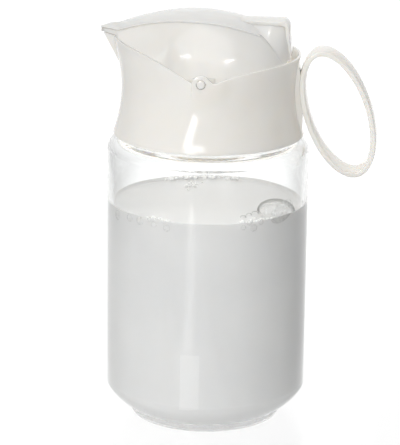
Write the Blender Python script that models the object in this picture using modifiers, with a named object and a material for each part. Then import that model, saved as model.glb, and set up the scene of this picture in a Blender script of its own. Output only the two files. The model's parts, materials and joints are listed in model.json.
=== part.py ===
"""A glass milk jug with a white plastic collar, a ring handle and a flip lid.

The straight-sided glass jar stands on a low foot and holds milk to a little over half its
height. A waisted collar is fitted on the jar's neck. It has a pouring beak at -X, a ring handle
at +X and a raised ear on each side, and the lid tilts on two pins that pass through the ears.

Units are metres, +Z is up, and the origin is the centre of the jar's foot.
Run with: blender --background --python part.py
"""

import math

import bmesh
import bpy
from mathutils import Vector

MM = 0.001
GAP = 0.3 * MM  # between pieces that touch
TURN_STEPS = 60  # round the jug's own axis

# Glass jar, in millimetres where a name ends in _MM.
JAR_RADIUS = 44.0 * MM
JAR_WALL = 2.5 * MM
FOOT_RADIUS = 33.2 * MM
FOOT_TOP = 3.4 * MM
FOOT_ROUNDING = 0.9 * MM
HEEL_TOP = 13.4 * MM
HEEL_POWER = 1.3  # 1 would be a straight chamfer, 2 a quarter round
BASE_THICKNESS = 4.2 * MM
INNER_HEEL_RADIUS = 30.8 * MM
INNER_HEEL_TOP = 14.9 * MM
INNER_HEEL_POWER = 1.35
SHOULDER_START = 119.9 * MM
SHOULDER_RADIUS = 5.5 * MM
NECK_OUTER_RADIUS = 33.7 * MM
NECK_WALL = 2.5 * MM
NECK_TOP = 146.8 * MM
LIP_ROUNDING = 0.7 * MM

# Milk.
MILK_LEVEL = 96.2 * MM
MILK_EDGE_RISE = 0.8 * MM
MILK_EDGE_WIDTH = 1.2 * MM

# Collar.
COLLAR_BOTTOM = 127.0 * MM
COLLAR_TOP = 175.4 * MM  # before its rim is cut
WAIST_HEIGHT = 147.9 * MM
WAIST_RADIUS = 38.0 * MM
WAIST_FLARE = 8.2  # radius gained per height squared, 1/m
FLARE_END = 164.4 * MM
UPPER_SLOPE = 0.12
COLLAR_WALL = 1.2 * MM
SEAT_UNDERSIDE = 147.3 * MM
SEAT_TOP = 148.9 * MM
SEAT_INNER_RADIUS = 31.6 * MM
SKIRT_RADIUS = 34.1 * MM
SKIRT_WALL = 1.4 * MM
SKIRT_BOTTOM = 135.4 * MM

# Pivot.
PIVOT_HEIGHT = 156.9 * MM
EAR_RADIUS = 3.9 * MM
EAR_FACE = 39.4 * MM
EAR_ROOT = 37.9 * MM
PIN_RADIUS = 1.75 * MM
PIN_START = 34.6 * MM
PIN_END = 39.6 * MM
HOLE_RADIUS = 2.05 * MM
HOLE_START = 33.0 * MM
HOLE_END = 44.0 * MM
SIDES = (("left", -1.0), ("right", 1.0))

# Beak, at -X.
BEAK_REACH = 47.2 * MM
BEAK_TIP_HEIGHT = 170.0 * MM
BEAK_ROOT_REACH = 39.0 * MM
BEAK_ROOT_HEIGHT = 154.9 * MM
BEAK_HALF_ANGLE = math.radians(40.0)
BEAK_BACK = 37.4 * MM
BEAK_DEPTH = 3.0 * MM  # how far it runs on below its root, into the wall
BEAK_RIDGE_ROUNDING = 0.9 * MM
BEAK_CHANNEL_SHIFT = 2.5 * MM
BEAK_CHANNEL_LIFT = 1.2 * MM

# Ring handle, at +X, in the plane Y = 0.
RING_CENTRE = Vector((56.3 * MM, 0.0, 138.1 * MM))
RING_LONG = 28.8 * MM
RING_SHORT = 14.25 * MM
RING_TILT = math.radians(19.8)
RING_BAND = 2.1 * MM
RING_WIDTH = 14.0 * MM
WEB_WIDTH = 9.0 * MM
WEB_TOP = 161.2 * MM
WEB_BOTTOM = COLLAR_BOTTOM + 0.6 * MM
WEB_SINK = 0.8 * MM  # into the collar's wall
RING_STEPS = 56

# Lid.
LID_WALL = 1.5 * MM
LID_TIP = 46.9 * MM
LID_INNER_RADIUS = 36.05 * MM
LID_FRONT_RADIUS = 40.4 * MM
BEAK_START = -39.9 * MM  # the lid follows the beak before this, and the collar after it
PETAL_END = 32.4 * MM
PETAL_END_HALF_WIDTH = 16.2 * MM
PETAL_END_RISE = 0.8 * MM
PETAL_BOW = 0.60  # over 0.5 bows out, and below it in
CORE_BOW = 0.40
CORE_HALF_WIDTH = 5.5 * MM
CORE_NOSE_START = 26.0 * MM
CORE_NOSE_LENGTH = 9.6 * MM
HOLLOW_DROP = 4.0 * MM  # how far the hollow runs past the lid's lower edge
ROOF_THICKNESS = 1.0 * MM
ROOF_OVERHANG = 0.6 * MM
ROOF_SINK = 0.35 * MM
WING_TIP = 22.8 * MM
WING_NOTCH = 18.6 * MM
TAB_HALF_WIDTH = 6.5 * MM
TAB_TOP = 177.8 * MM
TAB_REAR_TOP = 34.5 * MM
TAB_REAR_BOTTOM = 35.6 * MM
TAB_BOTTOM = 161.3 * MM
TAB_THICKNESS = 1.7 * MM
TAB_CORNER = 3.0 * MM
FLANGE_OUTER = 35.47 * MM
FLANGE_THICKNESS = 1.8 * MM
FLANGE_WIDTH = 11.0 * MM
FLANGE_BOTTOM = 152.6 * MM
FLANGE_TOP = 158.7 * MM

SIDE_POINTS = 7  # up each side of the lid
CUT_REACH = 70.0 * MM  # how far a cutter runs past the body on each side
CUT_TOP = 200.0 * MM

PLASTIC = ("white_plastic", (0.83, 0.81, 0.76), 0.25, 0.0)
GLASS = ("clear_glass", (0.93, 0.96, 0.97), 0.03, 0.0)
MILK = ("milk", (0.86, 0.86, 0.85), 0.35, 0.0)


# Curves and outlines


def lerp(a, b, t):
    """The value a share t of the way from a to b."""
    return a + (b - a) * t


def smooth(low, high, value):
    """Rises smoothly from 0 at low to 1 at high."""
    t = min(1.0, max(0.0, (value - low) / (high - low)))
    return t * t * (3.0 - 2.0 * t)


def bezier(points, count):
    """count + 1 points along the cubic curve with these four control points, given in millimetres."""
    found = []
    for i in range(count + 1):
        t = i / count
        shares = ((1 - t) ** 3, 3 * t * (1 - t) ** 2, 3 * t * t * (1 - t), t**3)
        found.append(tuple(sum(s * p[k] for s, p in zip(shares, points)) * MM for k in (0, 1)))
    return found


def arc(centre, radius, start, end, count):
    """count + 1 points on a circle, from angle start to end in degrees."""
    found = []
    for i in range(count + 1):
        a = math.radians(lerp(start, end, i / count))
        found.append((centre[0] + radius * math.cos(a), centre[1] + radius * math.sin(a)))
    return found


def height_on(line, x):
    """The height of a polyline, whose x rises from point to point, at x."""
    if x <= line[0][0]:
        return line[0][1]
    for (x0, z0), (x1, z1) in zip(line, line[1:]):
        if x <= x1:
            return lerp(z0, z1, (x - x0) / (x1 - x0))
    return line[-1][1]


def collar_radius(z):
    """The collar's outer radius at height z: a waist that flares to both ends."""
    flare = WAIST_FLARE * (min(z, FLARE_END) - WAIST_HEIGHT) ** 2
    return WAIST_RADIUS + flare + UPPER_SLOPE * max(0.0, z - FLARE_END)


def heel(top_radius, foot_radius, bottom, top, power, count):
    """The rounded chamfer between a jar's wall and its foot, from the wall down."""
    found = []
    for i in range(count + 1):
        a = math.radians(90.0 * (1 - i / count))
        out, down = math.sin(a) ** (2 / power), math.cos(a) ** (2 / power)
        found.append((lerp(foot_radius, top_radius, out), lerp(top, bottom, down)))
    return found


# The collar's rim, as a line in the side view from the beak to the handle.
RIM_BEAK = [(-60.0 * MM, 170.1 * MM), (-46.0 * MM, 170.0 * MM)]
RIM_FRONT = bezier([(-40.0, 169.6), (-26.0, 169.6), (-13.5, 163.0), (-4.4, 157.3)], 10)
RIM_REAR = bezier([(6.6, 157.4), (14.0, 160.6), (24.0, 163.0), (41.0, 162.6)], 8)
# The lid's lower edge: on the rim in front, and hidden inside it behind.
EDGE_FRONT = bezier([(-40.0, 170.0), (-26.0, 170.0), (-14.0, 164.0), (-4.5, 159.0)], 10)
EDGE_REAR = bezier([(3.0, 156.0), (12.0, 158.0), (24.0, 161.4), (41.0, 161.4)], 8)
LID_EDGE = [(-60.0 * MM, 170.5 * MM), (-46.0 * MM, 170.4 * MM)] + EDGE_FRONT + EDGE_REAR


def ear_line():
    """The rim over the ear: up its round top, and down to the rear in an S."""
    top = arc((0.0, PIVOT_HEIGHT), EAR_RADIUS, 172.0, 38.0, 8)
    return top + [(4.2 * MM, 158.3 * MM), (5.2 * MM, 157.6 * MM)]


def rim_line():
    """The collar's whole rim, from beyond the beak to beyond the handle."""
    return RIM_BEAK + RIM_FRONT[:-1] + ear_line() + RIM_REAR + [(70.0 * MM, 162.4 * MM)]


# The lid's form, by the distance x along it


def roof_edge_height(x):
    """The height of the roof's side edge."""
    return max(178.4 * MM - (x + 7.0 * MM) ** 2 / (156.0 * MM), 171.8 * MM)


def roof_crest_height(x):
    """The height of the roof's middle line."""
    nose = lerp(173.1 * MM, 174.6 * MM, smooth(-LID_TIP, -41.0 * MM, x))
    return max(180.6 * MM - (x + 6.5 * MM) ** 2 / (175.0 * MM), nose)


def roof_half_width(x):
    """Half the width of the leaf-shaped roof."""
    bow = 15.3 * MM - (x - 3.0 * MM) ** 2 / (200.0 * MM)
    point = (x + LID_TIP) * math.tan(BEAK_HALF_ANGLE) * 0.85
    return max(0.35 * MM, min(bow, point))


def base_half_width(x):
    """Half the width of the lid where it meets the rim."""
    if x < BEAK_START:
        return max(0.6 * MM, (x + LID_TIP) * math.tan(BEAK_HALF_ANGLE))
    radius = lerp(LID_FRONT_RADIUS, LID_INNER_RADIUS, smooth(-17.0 * MM, -3.5 * MM, x))
    return math.sqrt(radius * radius - x * x)


def petal_top(x):
    """Half width and height of the top of the lid's side. It drops to the rim behind the wings."""
    if x <= WING_TIP:
        return roof_half_width(x), roof_edge_height(x)
    t = (x - WING_TIP) / (PETAL_END - WING_TIP)
    width = lerp(roof_half_width(WING_TIP), PETAL_END_HALF_WIDTH, t)
    low = height_on(LID_EDGE, x) + PETAL_END_RISE
    return width, lerp(roof_edge_height(WING_TIP), low, 0.55 * t + 0.45 * t * t)


def petal_stations():
    """Where the lid's side is measured, closer together where it turns fastest."""
    front = [-LID_TIP, -44.5 * MM, -42.0 * MM, -40.3 * MM, -39.6 * MM, -38.4 * MM, -36.5 * MM]
    bowl = [v * MM for v in (-34.0, -30.5, -26.0, -20.5, -14.0, -9.0, -5.5, -3.0)]
    rear = [v * MM for v in (0.0, 4.0, 8.0, 13.0, 18.0)]
    return front + bowl + rear + [WING_TIP, 26.0 * MM, 29.4 * MM, PETAL_END]


def bowed_side(base, top, bow, count):
    """Points from base to top, two (half width, height) pairs. A bow over 0.5 bows them out."""
    (y0, z0), (y1, z1) = base, top
    control = (lerp(y1, y0, bow), lerp(z0, z1, bow))
    found = []
    for i in range(count + 1):
        t = i / count
        a, b, c = (1 - t) ** 2, 2 * t * (1 - t), t * t
        found.append((a * y0 + b * control[0] + c * y1, a * z0 + b * control[1] + c * z1))
    return found


def petal_section(x, inset=0.0, drop=0.0):
    """The closed cross-section of the lid's body at x: (y, z) points, left foot first."""
    half = max(0.3 * MM, base_half_width(x) - inset)
    width, height = petal_top(x)
    top = (max(0.2 * MM, min(width, half) - inset * 0.8), height - inset)
    base = (half, height_on(LID_EDGE, x) - drop)
    side = bowed_side(base, top, PETAL_BOW, SIDE_POINTS)
    return [(-y, z) for y, z in side] + [(y, z) for y, z in reversed(side)]


def core_section(x, inset=0.0, drop=0.0):
    """The cross-section of the lid's rear core at x, hollowed at the sides behind the wings."""
    half = math.sqrt(max((3.0 * MM) ** 2, (LID_INNER_RADIUS - GAP) ** 2 - x * x)) - inset
    nose = math.sqrt(max(0.0, 1.0 - (max(0.0, x - CORE_NOSE_START) / CORE_NOSE_LENGTH) ** 2))
    bend = max(0.0, x - (TAB_REAR_TOP - TAB_CORNER))
    under = TAB_TOP - 0.8 * MM - TAB_CORNER + math.sqrt(TAB_CORNER**2 - min(bend, 0.96 * TAB_CORNER) ** 2)
    top = (max(0.6 * MM, CORE_HALF_WIDTH * nose - inset), under - inset)
    base = (max(half, 1.0 * MM), height_on(LID_EDGE, x) - drop)
    side = bowed_side(base, top, CORE_BOW, SIDE_POINTS)
    return [(-y, z) for y, z in side] + [(y, z) for y, z in reversed(side)]


# Scene, materials and objects


def clear_scene():
    """Removes every object, so that the script can run again."""
    for obj in list(bpy.data.objects):
        bpy.data.objects.remove(obj, do_unlink=True)


def new_collection(name):
    """A new collection in the scene."""
    made = bpy.data.collections.new(name)
    bpy.context.scene.collection.children.link(made)
    return made


def new_material(name, colour, roughness, metallic):
    """A Principled material."""
    made = bpy.data.materials.new(name)
    made.use_nodes = True
    shader = made.node_tree.nodes["Principled BSDF"]
    shader.inputs["Base Color"].default_value = (*colour, 1.0)
    shader.inputs["Roughness"].default_value = roughness
    shader.inputs["Metallic"].default_value = metallic
    return made


def link_mesh(name, mesh, collection, material=None):
    """A new object with this mesh, in this collection."""
    made = bpy.data.objects.new(name, mesh)
    collection.objects.link(made)
    if material:
        mesh.materials.append(material)
    return made


def hide_cutter(obj):
    """Shows a cutter as a wire and keeps it out of the build."""
    obj.hide_render = True
    obj.display_type = "WIRE"


def profile_mesh(name, points, closed):
    """A mesh of edges only, through (radius, height) points in the XZ plane."""
    mesh = bpy.data.meshes.new(name)
    bm = bmesh.new()
    verts = [bm.verts.new((r, 0.0, z)) for r, z in points]
    for a, b in zip(verts, verts[1:]):
        bm.edges.new((a, b))
    if closed:
        bm.edges.new((verts[-1], verts[0]))
    bm.to_mesh(mesh)
    bm.free()
    return mesh


def turned(name, points, closed, collection, material, steps=TURN_STEPS):
    """A turned piece: the profile, running down its outer side, with a Screw modifier."""
    made = link_mesh(name, profile_mesh(name, points, closed), collection, material)
    screw = made.modifiers.new("turn", "SCREW")
    screw.steps = screw.render_steps = steps
    screw.use_merge_vertices = True
    screw.merge_threshold = 0.0001
    return made


def lofted(name, stations, section, collection, material=None):
    """A closed body through the cross-sections at the stations along X."""
    mesh = bpy.data.meshes.new(name)
    bm = bmesh.new()
    rings = [[bm.verts.new((x, y, z)) for y, z in section(x)] for x in stations]
    for ring, after in zip(rings, rings[1:]):
        for i, vert in enumerate(ring):
            j = (i + 1) % len(ring)
            bm.faces.new((vert, ring[j], after[j], after[i]))
    bm.faces.new(rings[0])
    bm.faces.new(list(reversed(rings[-1])))
    bmesh.ops.recalc_face_normals(bm, faces=bm.faces)
    bmesh.ops.triangulate(bm, faces=[f for f in bm.faces if len(f.verts) > 4])
    bm.to_mesh(mesh)
    bm.free()
    return link_mesh(name, mesh, collection, material)


def curve_to_mesh(obj, collection):
    """The mesh object that replaces a curve object, with its caps welded."""
    graph = bpy.context.evaluated_depsgraph_get()
    mesh = bpy.data.meshes.new_from_object(obj.evaluated_get(graph))
    bm = bmesh.new()
    bm.from_mesh(mesh)
    bmesh.ops.remove_doubles(bm, verts=bm.verts, dist=0.00001)
    bmesh.ops.recalc_face_normals(bm, faces=bm.faces)
    bm.to_mesh(mesh)
    bm.free()
    made = link_mesh(obj.name + "_solid", mesh, collection)
    made.matrix_world = obj.matrix_world.copy()
    bpy.data.objects.remove(obj, do_unlink=True)
    return made


def side_outline(name, loops, half_width, collection):
    """A flat outline in the XZ plane, given as closed loops of (x, z), thickened along Y."""
    curve = bpy.data.curves.new(name, "CURVE")
    curve.dimensions = "2D"
    curve.fill_mode = "BOTH"
    curve.extrude = half_width
    for points in loops:
        spline = curve.splines.new("POLY")
        spline.points.add(len(points) - 1)
        for point, (x, z) in zip(spline.points, points):
            point.co = (x, z, 0.0, 1.0)
        spline.use_cyclic_u = True
    made = bpy.data.objects.new(name, curve)
    made.rotation_euler = (math.radians(90.0), 0.0, 0.0)
    collection.objects.link(made)
    bpy.context.view_layer.update()
    return curve_to_mesh(made, collection)


def cross_pin(name, radius, start, end, collection, vertices=24):
    """A cylinder along Y on the pivot's axis, between two distances from the middle."""
    middle = (start + end) / 2
    mesh = bpy.data.meshes.new(name)
    bm = bmesh.new()
    bmesh.ops.create_cone(
        bm, cap_ends=True, segments=vertices, radius1=radius, radius2=radius, depth=abs(end - start)
    )
    bm.to_mesh(mesh)
    bm.free()
    made = link_mesh(name, mesh, collection)
    made.rotation_euler = (math.radians(90.0), 0.0, 0.0)
    made.location = (0.0, middle, PIVOT_HEIGHT)
    return made


def box(name, low, high, collection):
    """A box between two corners."""
    mesh = bpy.data.meshes.new(name)
    bm = bmesh.new()
    bmesh.ops.create_cube(bm, size=1.0)
    size = [b - a for a, b in zip(low, high)]
    bmesh.ops.scale(bm, vec=size, verts=bm.verts)
    bmesh.ops.translate(bm, vec=[(a + b) / 2 for a, b in zip(low, high)], verts=bm.verts)
    bm.to_mesh(mesh)
    bm.free()
    return link_mesh(name, mesh, collection)


def combine(target, operation, others):
    """Adds an EXACT Boolean for each other object, which is kept as a hidden cutter."""
    for other in others:
        step = target.modifiers.new(operation.lower() + "_" + other.name, "BOOLEAN")
        step.operation = operation
        step.solver = "EXACT"
        step.object = other
        hide_cutter(other)


def applied(obj):
    """Replaces an object's mesh by its evaluated mesh, and drops its modifiers."""
    bpy.context.view_layer.update()
    graph = bpy.context.evaluated_depsgraph_get()
    mesh = bpy.data.meshes.new_from_object(obj.evaluated_get(graph))
    obj.modifiers.clear()
    obj.data = mesh
    return obj


def shade_round(obj, angle=35.0):
    """Shades a mesh smooth, with its corners kept sharp."""
    obj.data.shade_smooth()
    obj.data.set_sharp_from_angle(angle=math.radians(angle))


# The pieces


def jar_profile():
    """The glass jar's profile, from the middle of its inside over the lip to that of its foot."""
    inner = JAR_RADIUS - JAR_WALL
    neck_inner = NECK_OUTER_RADIUS - NECK_WALL
    centre = (JAR_RADIUS - SHOULDER_RADIUS, SHOULDER_START)
    neck_foot = SHOULDER_START + SHOULDER_RADIUS
    points = [(0.0, BASE_THICKNESS), (INNER_HEEL_RADIUS * 0.6, BASE_THICKNESS)]
    inner_heel = heel(inner, INNER_HEEL_RADIUS, BASE_THICKNESS, INNER_HEEL_TOP, INNER_HEEL_POWER, 6)
    points += reversed(inner_heel)
    points += arc(centre, SHOULDER_RADIUS - JAR_WALL, 0.0, 80.0, 3)
    points.append((neck_inner + 2.2 * MM, neck_foot - JAR_WALL + 0.2 * MM))
    points.append((neck_inner, neck_foot - 0.2 * MM))
    points += [(neck_inner, NECK_TOP - LIP_ROUNDING), (neck_inner + LIP_ROUNDING, NECK_TOP)]
    points.append((NECK_OUTER_RADIUS - LIP_ROUNDING, NECK_TOP))
    points.append((NECK_OUTER_RADIUS, NECK_TOP - LIP_ROUNDING))
    points.append((NECK_OUTER_RADIUS, neck_foot + 1.6 * MM))
    points.append((NECK_OUTER_RADIUS + 1.2 * MM, neck_foot + 0.3 * MM))
    points += reversed(arc(centre, SHOULDER_RADIUS, 0.0, 86.0, 5))
    points += heel(JAR_RADIUS, FOOT_RADIUS, FOOT_TOP, HEEL_TOP, HEEL_POWER, 8)
    return points + [(FOOT_RADIUS, FOOT_ROUNDING), (FOOT_RADIUS - FOOT_ROUNDING, 0.0), (0.0, 0.0)]


def milk_profile():
    """The milk's profile, from the middle of its surface to the middle of its underside."""
    inner = JAR_RADIUS - JAR_WALL - GAP
    bottom = BASE_THICKNESS + GAP
    heel_top = INNER_HEEL_TOP + GAP
    points = [(0.0, MILK_LEVEL), (inner - MILK_EDGE_WIDTH, MILK_LEVEL)]
    points.append((inner, MILK_LEVEL + MILK_EDGE_RISE))
    points += heel(inner, INNER_HEEL_RADIUS - GAP, bottom, heel_top, INNER_HEEL_POWER, 8)
    return points + [(0.0, bottom)]


def collar_profile():
    """The collar's closed profile: outer wall down, then inner wall up, with skirt and seat."""
    heights = [lerp(COLLAR_TOP, COLLAR_BOTTOM, i / 11) for i in range(12)]
    outer = [(collar_radius(z), z) for z in heights]
    inner = [(collar_radius(z) - COLLAR_WALL, z) for z in reversed(heights)]
    below = [p for p in inner if p[1] < SEAT_UNDERSIDE - 1.0 * MM]
    above = [p for p in inner if p[1] > SEAT_TOP + 1.0 * MM]
    ledge_radius = collar_radius(SEAT_TOP) - COLLAR_WALL
    seat = [
        (ledge_radius, SEAT_UNDERSIDE),
        (SKIRT_RADIUS + SKIRT_WALL, SEAT_UNDERSIDE),
        (SKIRT_RADIUS + SKIRT_WALL, SKIRT_BOTTOM),
        (SKIRT_RADIUS, SKIRT_BOTTOM),
        (SKIRT_RADIUS, SEAT_UNDERSIDE),
        (SEAT_INNER_RADIUS, SEAT_UNDERSIDE),
        (SEAT_INNER_RADIUS, SEAT_TOP),
        (ledge_radius, SEAT_TOP),
    ]
    return outer + below + seat + above


def beak_wedge(name, shift, lift, collection):
    """The beak's outer form: a wedge whose ridge rises from the collar's wall to the tip."""
    slope = (BEAK_REACH - BEAK_ROOT_REACH) / (BEAK_TIP_HEIGHT - BEAK_ROOT_HEIGHT)
    low = BEAK_ROOT_HEIGHT - BEAK_DEPTH
    reach_low = BEAK_ROOT_REACH - BEAK_DEPTH * slope
    reach_top = BEAK_REACH + (COLLAR_TOP - BEAK_TIP_HEIGHT) * slope
    half = (reach_top - BEAK_BACK) * math.tan(BEAK_HALF_ANGLE)
    corners = [
        (-reach_low, 0.0, low),
        (-reach_top, 0.0, COLLAR_TOP),
        (-BEAK_BACK, half, COLLAR_TOP),
        (-BEAK_BACK, -half, COLLAR_TOP),
    ]
    mesh = bpy.data.meshes.new(name)
    bm = bmesh.new()
    for x, y, z in corners:
        bm.verts.new((x + shift, y, z + lift))
    bmesh.ops.convex_hull(bm, input=bm.verts)
    ridge = [e for e in bm.edges if all(abs(v.co.y) < 1e-6 for v in e.verts)]
    bmesh.ops.bevel(
        bm,
        geom=ridge,
        offset=BEAK_RIDGE_ROUNDING,
        segments=3,
        profile=0.5,
        affect="EDGES",
        material=-1,
    )
    bmesh.ops.recalc_face_normals(bm, faces=bm.faces)
    bm.to_mesh(mesh)
    bm.free()
    return link_mesh(name, mesh, collection)


def ellipse(long_axis, short_axis, count):
    """The ring's ellipse in the side view, its long axis tilted towards the jug at the top."""
    u = (-math.sin(RING_TILT), math.cos(RING_TILT))
    v = (math.cos(RING_TILT), math.sin(RING_TILT))
    found = []
    for i in range(count):
        a = 2 * math.pi * i / count
        along, across = long_axis * math.cos(a), short_axis * math.sin(a)
        x = RING_CENTRE.x + along * u[0] + across * v[0]
        z = RING_CENTRE.z + along * u[1] + across * v[1]
        found.append((x, z))
    return found


def ring_handle(collection):
    """The flat band of the ring handle, and the web that joins it to the collar."""
    outer = ellipse(RING_LONG, RING_SHORT, RING_STEPS)
    inner = ellipse(RING_LONG - RING_BAND, RING_SHORT - RING_BAND, RING_STEPS)
    band = side_outline("ring_band", [outer, inner], RING_WIDTH / 2, collection)
    heights = [lerp(WEB_TOP, WEB_BOTTOM, i / 8) for i in range(9)]
    wall_side = [(collar_radius(z) - WEB_SINK, z) for z in heights]
    near = [(x + 0.6 * MM, z) for x, z in outer if x < RING_CENTRE.x]
    ring_side = [p for p in near if COLLAR_BOTTOM < p[1] < WEB_TOP + 0.4 * MM]
    ring_side.sort(key=lambda p: p[1])
    web = side_outline("ring_web", [wall_side + ring_side], WEB_WIDTH / 2, collection)
    return band, web


def make_collar(parts, cutters, plastic):
    """The collar with its beak, ears and ring handle, cut to its rim."""
    collar = turned("collar", collar_profile(), True, parts, plastic)
    beak = beak_wedge("beak", 0.0, 0.0, cutters)
    combine(collar, "UNION", [beak])
    band, web = ring_handle(cutters)
    channel = beak_wedge("beak_channel", BEAK_CHANNEL_SHIFT, BEAK_CHANNEL_LIFT, cutters)
    line = rim_line()
    sky = [(line[-1][0], CUT_TOP), (line[0][0], CUT_TOP)]
    rim_cutter = side_outline("rim_cutter", [line + sky], CUT_REACH, cutters)
    combine(collar, "DIFFERENCE", [channel, rim_cutter])
    ears, holes = [], []
    for name, side in SIDES:
        ear = cross_pin("ear_" + name, EAR_RADIUS, side * EAR_ROOT, side * EAR_FACE, cutters, 32)
        ears.append(ear)
        holes.append(cross_pin("hole_" + name, HOLE_RADIUS, side * HOLE_START, side * HOLE_END, cutters))
    combine(collar, "UNION", [band, web, *ears])
    combine(collar, "DIFFERENCE", holes)
    return collar


def roof_section(x):
    """The roof sheet's closed cross-section at x: crowned above, flat below its edge."""
    half = roof_half_width(x) + ROOF_OVERHANG
    edge, crest = roof_edge_height(x), roof_crest_height(x)
    shares = [i / 4 for i in range(-4, 5)]
    low = edge - ROOF_SINK
    top = [(s * half, lerp(crest, low + ROOF_THICKNESS, s * s)) for s in shares]
    bottom = [(half, low), (half * 0.5, lerp(low, crest, 0.3) - 0.8 * MM)]
    return top + bottom + [(-y, z) for y, z in reversed(bottom)]


def tab_outline():
    """The thumb tab in the side view: a strip from the roof to the rear, bent down to the rim."""
    corner = (TAB_REAR_TOP - TAB_CORNER, TAB_TOP - TAB_CORNER)
    inner_radius = TAB_CORNER - TAB_THICKNESS
    outer = [(8.0 * MM, TAB_TOP - 0.6 * MM), (14.0 * MM, TAB_TOP)]
    outer += arc(corner, TAB_CORNER, 90.0, 5.0, 5)
    outer += [(TAB_REAR_BOTTOM + 0.3 * MM, 162.8 * MM), (TAB_REAR_BOTTOM, TAB_BOTTOM)]
    inner = [(TAB_REAR_BOTTOM - TAB_THICKNESS, TAB_BOTTOM)] + arc(corner, inner_radius, 5.0, 90.0, 3)
    return outer + inner + [(8.0 * MM, TAB_TOP - TAB_THICKNESS - 1.0 * MM)]


def notch_outline():
    """The cut between the wings, seen from above, as (x, y) points."""
    past, wide = WING_TIP + 10.0 * MM, 30.0 * MM
    wing = roof_half_width(WING_TIP) + ROOF_OVERHANG
    tab = TAB_HALF_WIDTH - 0.4 * MM
    right = [(past, wide), (WING_TIP, wide), (WING_TIP, wing), (WING_NOTCH, tab)]
    return right + [(x, -y) for x, y in reversed(right)]


def plan_outline(name, points, low, high, collection):
    """A flat outline seen from above, thickened between two heights."""
    curve = bpy.data.curves.new(name, "CURVE")
    curve.dimensions = "2D"
    curve.fill_mode = "BOTH"
    curve.extrude = (high - low) / 2
    spline = curve.splines.new("POLY")
    spline.points.add(len(points) - 1)
    for point, (x, y) in zip(spline.points, points):
        point.co = (x, y, 0.0, 1.0)
    spline.use_cyclic_u = True
    made = bpy.data.objects.new(name, curve)
    made.location.z = (low + high) / 2
    collection.objects.link(made)
    bpy.context.view_layer.update()
    return curve_to_mesh(made, collection)


def flange_outline():
    """One pin flange in the side view: a tongue with a round end, hung inside the collar."""
    half = FLANGE_WIDTH / 2
    end = arc((0.0, FLANGE_BOTTOM + half), half, 180.0, 360.0, 10)
    return [(-half * 0.6, FLANGE_TOP)] + end + [(half, FLANGE_TOP)]


def make_lid(parts, cutters, plastic):
    """The flip lid: side petals, crowned roof with two wings, thumb tab, and pins on inner flanges."""
    stations = petal_stations()
    core_stations = [v * MM for v in (6.0, 12.0, 18.0, 22.0, 26.0, 29.0, 31.5, 33.2, 34.4)]
    lid = lofted("lid", stations, petal_section, parts, plastic)
    core = lofted("lid_core", core_stations, core_section, cutters)
    inner = [x for x in stations if -41.0 * MM < x < 31.0 * MM]
    core_inner = [x for x in core_stations if x < 33.0 * MM]
    under = {"inset": LID_WALL, "drop": HOLLOW_DROP}
    hollow = lofted("lid_hollow", inner, lambda x: petal_section(x, **under), cutters)
    core_hollow = lofted("core_hollow", core_inner, lambda x: core_section(x, **under), cutters)
    roof_stations = [-LID_TIP - GAP] + stations[1 : stations.index(WING_TIP)] + [WING_TIP + 1.0 * MM]
    roof = lofted("lid_roof", roof_stations, roof_section, cutters)
    notch = plan_outline("wing_notch", notch_outline(), 157.4 * MM, 192.4 * MM, cutters)
    combine(roof, "DIFFERENCE", [notch])
    applied(roof)
    tab = side_outline("lid_tab", [tab_outline()], TAB_HALF_WIDTH, cutters)
    combine(lid, "UNION", [core])
    combine(lid, "DIFFERENCE", [hollow, core_hollow])
    flanges = []
    for name, side in SIDES:
        flange = side_outline("flange_" + name, [flange_outline()], FLANGE_THICKNESS / 2, cutters)
        flange.location.y = side * (FLANGE_OUTER - FLANGE_THICKNESS / 2)
        pin = cross_pin("pin_" + name, PIN_RADIUS, side * PIN_START, side * PIN_END, cutters)
        flanges += [flange, pin]
    combine(lid, "UNION", [roof, tab, *flanges])
    return lid


def build():
    """Makes the four pieces."""
    clear_scene()
    parts = new_collection("milk_jug")
    cutters = new_collection("cutters")
    plastic, glass, milk = (new_material(*m) for m in (PLASTIC, GLASS, MILK))
    jar = turned("glass_jar", jar_profile(), False, parts, glass)
    filling = turned("milk", milk_profile(), False, parts, milk)
    collar = make_collar(parts, cutters, plastic)
    lid = make_lid(parts, cutters, plastic)
    for piece in (jar, filling, collar, lid):
        shade_round(piece)


build()
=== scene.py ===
"""The looks of a glass milk jug with a white plastic collar, a ring handle and a flip lid.

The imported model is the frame. Each of its solids is replaced by a finer piece in the same place:
the blown jar, the milk with its froth, the collar with its beak and ears, the ring handle, and the
lid with its crowned roof and thumb tab. A pale glossy table and soft studio lights stand around it.

Units are metres, +Z is up, the beak points to -X and the ring handle to +X.
"""

from __future__ import annotations

import json
import logging
import math
import random
from bisect import bisect_left
from collections.abc import Callable, Iterable, Sequence
from dataclasses import dataclass, field
from enum import Enum

import bmesh
import bpy
from mathutils import Euler, Matrix, Quaternion, Vector, noise

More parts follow.
